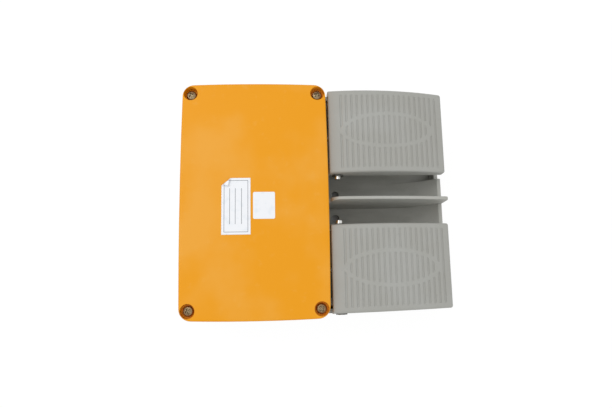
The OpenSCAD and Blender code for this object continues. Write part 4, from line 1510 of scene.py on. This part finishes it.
# The finish of each record slot. Each comment says what the real one gives the eye.
FINISHES = {
    # The pedals: satin pale grey with a faint orange peel, paler where shoes rub.
    "pedal_grey": Enamel("stoved enamel, grey", "A3A39D", "ABACA8", "85867F"),
    # The tray and box: the same enamel, darker low down in streaks, as dirt and as painted shade of the
    # trough.
    "housing_grey": Enamel("stoved enamel, tray", "ACACA5", "B4B5B0", "7B7B72", grime=0.3),
    # The cover: an even warm orange with soft, wide highlights.
    "cover_orange": Moulding("moulded ABS, orange", "EF9F0C", "F1B04C"),
    # Screws and nuts: dull yellow-brown metal, stained darker in the recesses.
    "zinc_steel": Metal("zinc plate, yellow passivated", "98876A", "55472F", 0.38),
    # Shafts and plungers: bright, with marks from grinding round them.
    "bright_steel": Metal("ground steel", "D8D8D4", "A7A7A3", 0.2, (0.1, 1.0, 1.0)),
    # Shaft clips: dark grey and dull.
    "black_steel": Metal("phosphated spring steel", "6C6C68", "4A4A48", 0.5),
    # Return springs: mid grey with a soft shine along the wire.
    "spring_steel": Metal("drawn spring wire", "A5A5A2", "6B6B69", 0.32),
    # Switch brackets: cool pale grey, slightly clouded.
    "bracket_steel": Metal("zinc-plated sheet", "B7BABD", "8E9295", 0.36),
    # Hinge bushes: brown-gold and matt from their pores.
    "bronze": Metal("sintered bronze", "B0884F", "7B5C34", 0.45),
    # Guides, terminals and the earth screw: clear yellow with a turned shine.
    "brass": Metal("machined brass", "CFA24C", "9A7736", 0.3),
    # Feet, stops, seals and the gasket: near black and dull, greyed by dust.
    "black_rubber": Rubber("moulded rubber", "1F1F20", "3A3A3A"),
    # Switch bodies: black with a dull sheen.
    "switch_black": Moulding("moulded phenolic", "27282B", "303236", 0.5),
    # Switch buttons: strong red with a smooth sheen.
    "button_red": Moulding("moulded acetal, red", "B3261E", "BE3A30", 0.3),
}

# The CAD nodes that are shown as they are, by the slot whose finish they wear.
KEPT_NODES = {
    "black_rubber": ("cover_gasket", "pedal_stops", "plunger_seals"),
    "bright_steel": ("left_plunger", "right_plunger"),
    "brass": ("plunger_guides", "switch_terminals", "earth_screw"),
    "zinc_steel": ("guide_nuts", "switch_screws", "switch_nuts", "bracket_screws", "foot_screws"),
    "bracket_steel": ("switch_brackets",),
    "switch_black": ("left_switch", "right_switch"),
    "button_red": ("left_switch_button", "right_switch_button"),
}


def label_films() -> tuple[bpy.types.Material, bpy.types.Material]:
    """Makes the labels' films: white coated paper with a slight gloss and thin grey print.

    Returns:
        The printed film and the bare one.
    """
    low, high = (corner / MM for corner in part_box("rating_label"))
    centre = (low.x + RatingLabel.width / 2, high.y - RatingLabel.depth / 2)
    frame_half, rules = (21.5, 9.8), (-4.6, 0.6, 5.2)
    printed = LabelFilm("label film, printed", "F3F5F9", "5B6168", centre, frame_half, rules=rules)
    return printed.material(), LabelFilm("label film, bare", "F3F5F9", "5B6168").material()


def dress_kept_nodes(looks: dict[str, bpy.types.Material]) -> None:
    """Gives finishes to the CAD nodes that are shown as they are.

    Args:
        looks: The material of each slot.
    """
    for slot, nodes in KEPT_NODES.items():
        for name in nodes:
            mesh = bpy.data.objects[name].data
            mesh.materials.clear()
            mesh.materials.append(looks[slot])


def main() -> None:
    """Builds the studio and every piece of the foot switch, and logs each one."""
    logging.basicConfig(level=logging.INFO)
    Studio().build()
    looks = {slot: finish.material() for slot, finish in FINISHES.items()}
    printed, bare = label_films()
    tray, orange = looks["housing_grey"], looks["cover_orange"]
    parts = [
        SmoothPart("base", "housing", "housing_grey", tray, 30.0, 0.5, fin_and_rim()),
        SmoothPart("cover", "housing", "cover_orange", orange, 30.0, 0.5, counterbore_mouths()),
        SmoothPart("rubber_feet", "housing", "black_rubber", looks["black_rubber"]),
        SmoothPart("pedal_bushes", "housing", "bronze", looks["bronze"]),
        CoverScrews(looks["zinc_steel"]),
        RatingLabel(printed),
        BlankLabel(bare),
    ]
    for side in Side:
        body = f"{side.word}_pedal"
        parts += [
            Pedal(side, looks["pedal_grey"]),
            ReturnSpring(side, looks["spring_steel"]),
            SmoothPart(f"{side.word}_pedal_shaft", body, "bright_steel", looks["bright_steel"]),
            SmoothPart(f"{side.word}_shaft_clips", body, "black_steel", looks["black_steel"]),
        ]
    for part in parts:
        made = part.build()
        LOG.info("%s: %d faces", made.name, len(made.data.polygons))
    dress_kept_nodes(looks)
    write_sizes()


def write_sizes() -> None:
    boxes = {"cad": CAD_BOX, "visual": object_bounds()}
    plain = {name: [list(map(float, corner)) for corner in box] for name, box in boxes.items()}


if __name__ == "__main__":
    main()
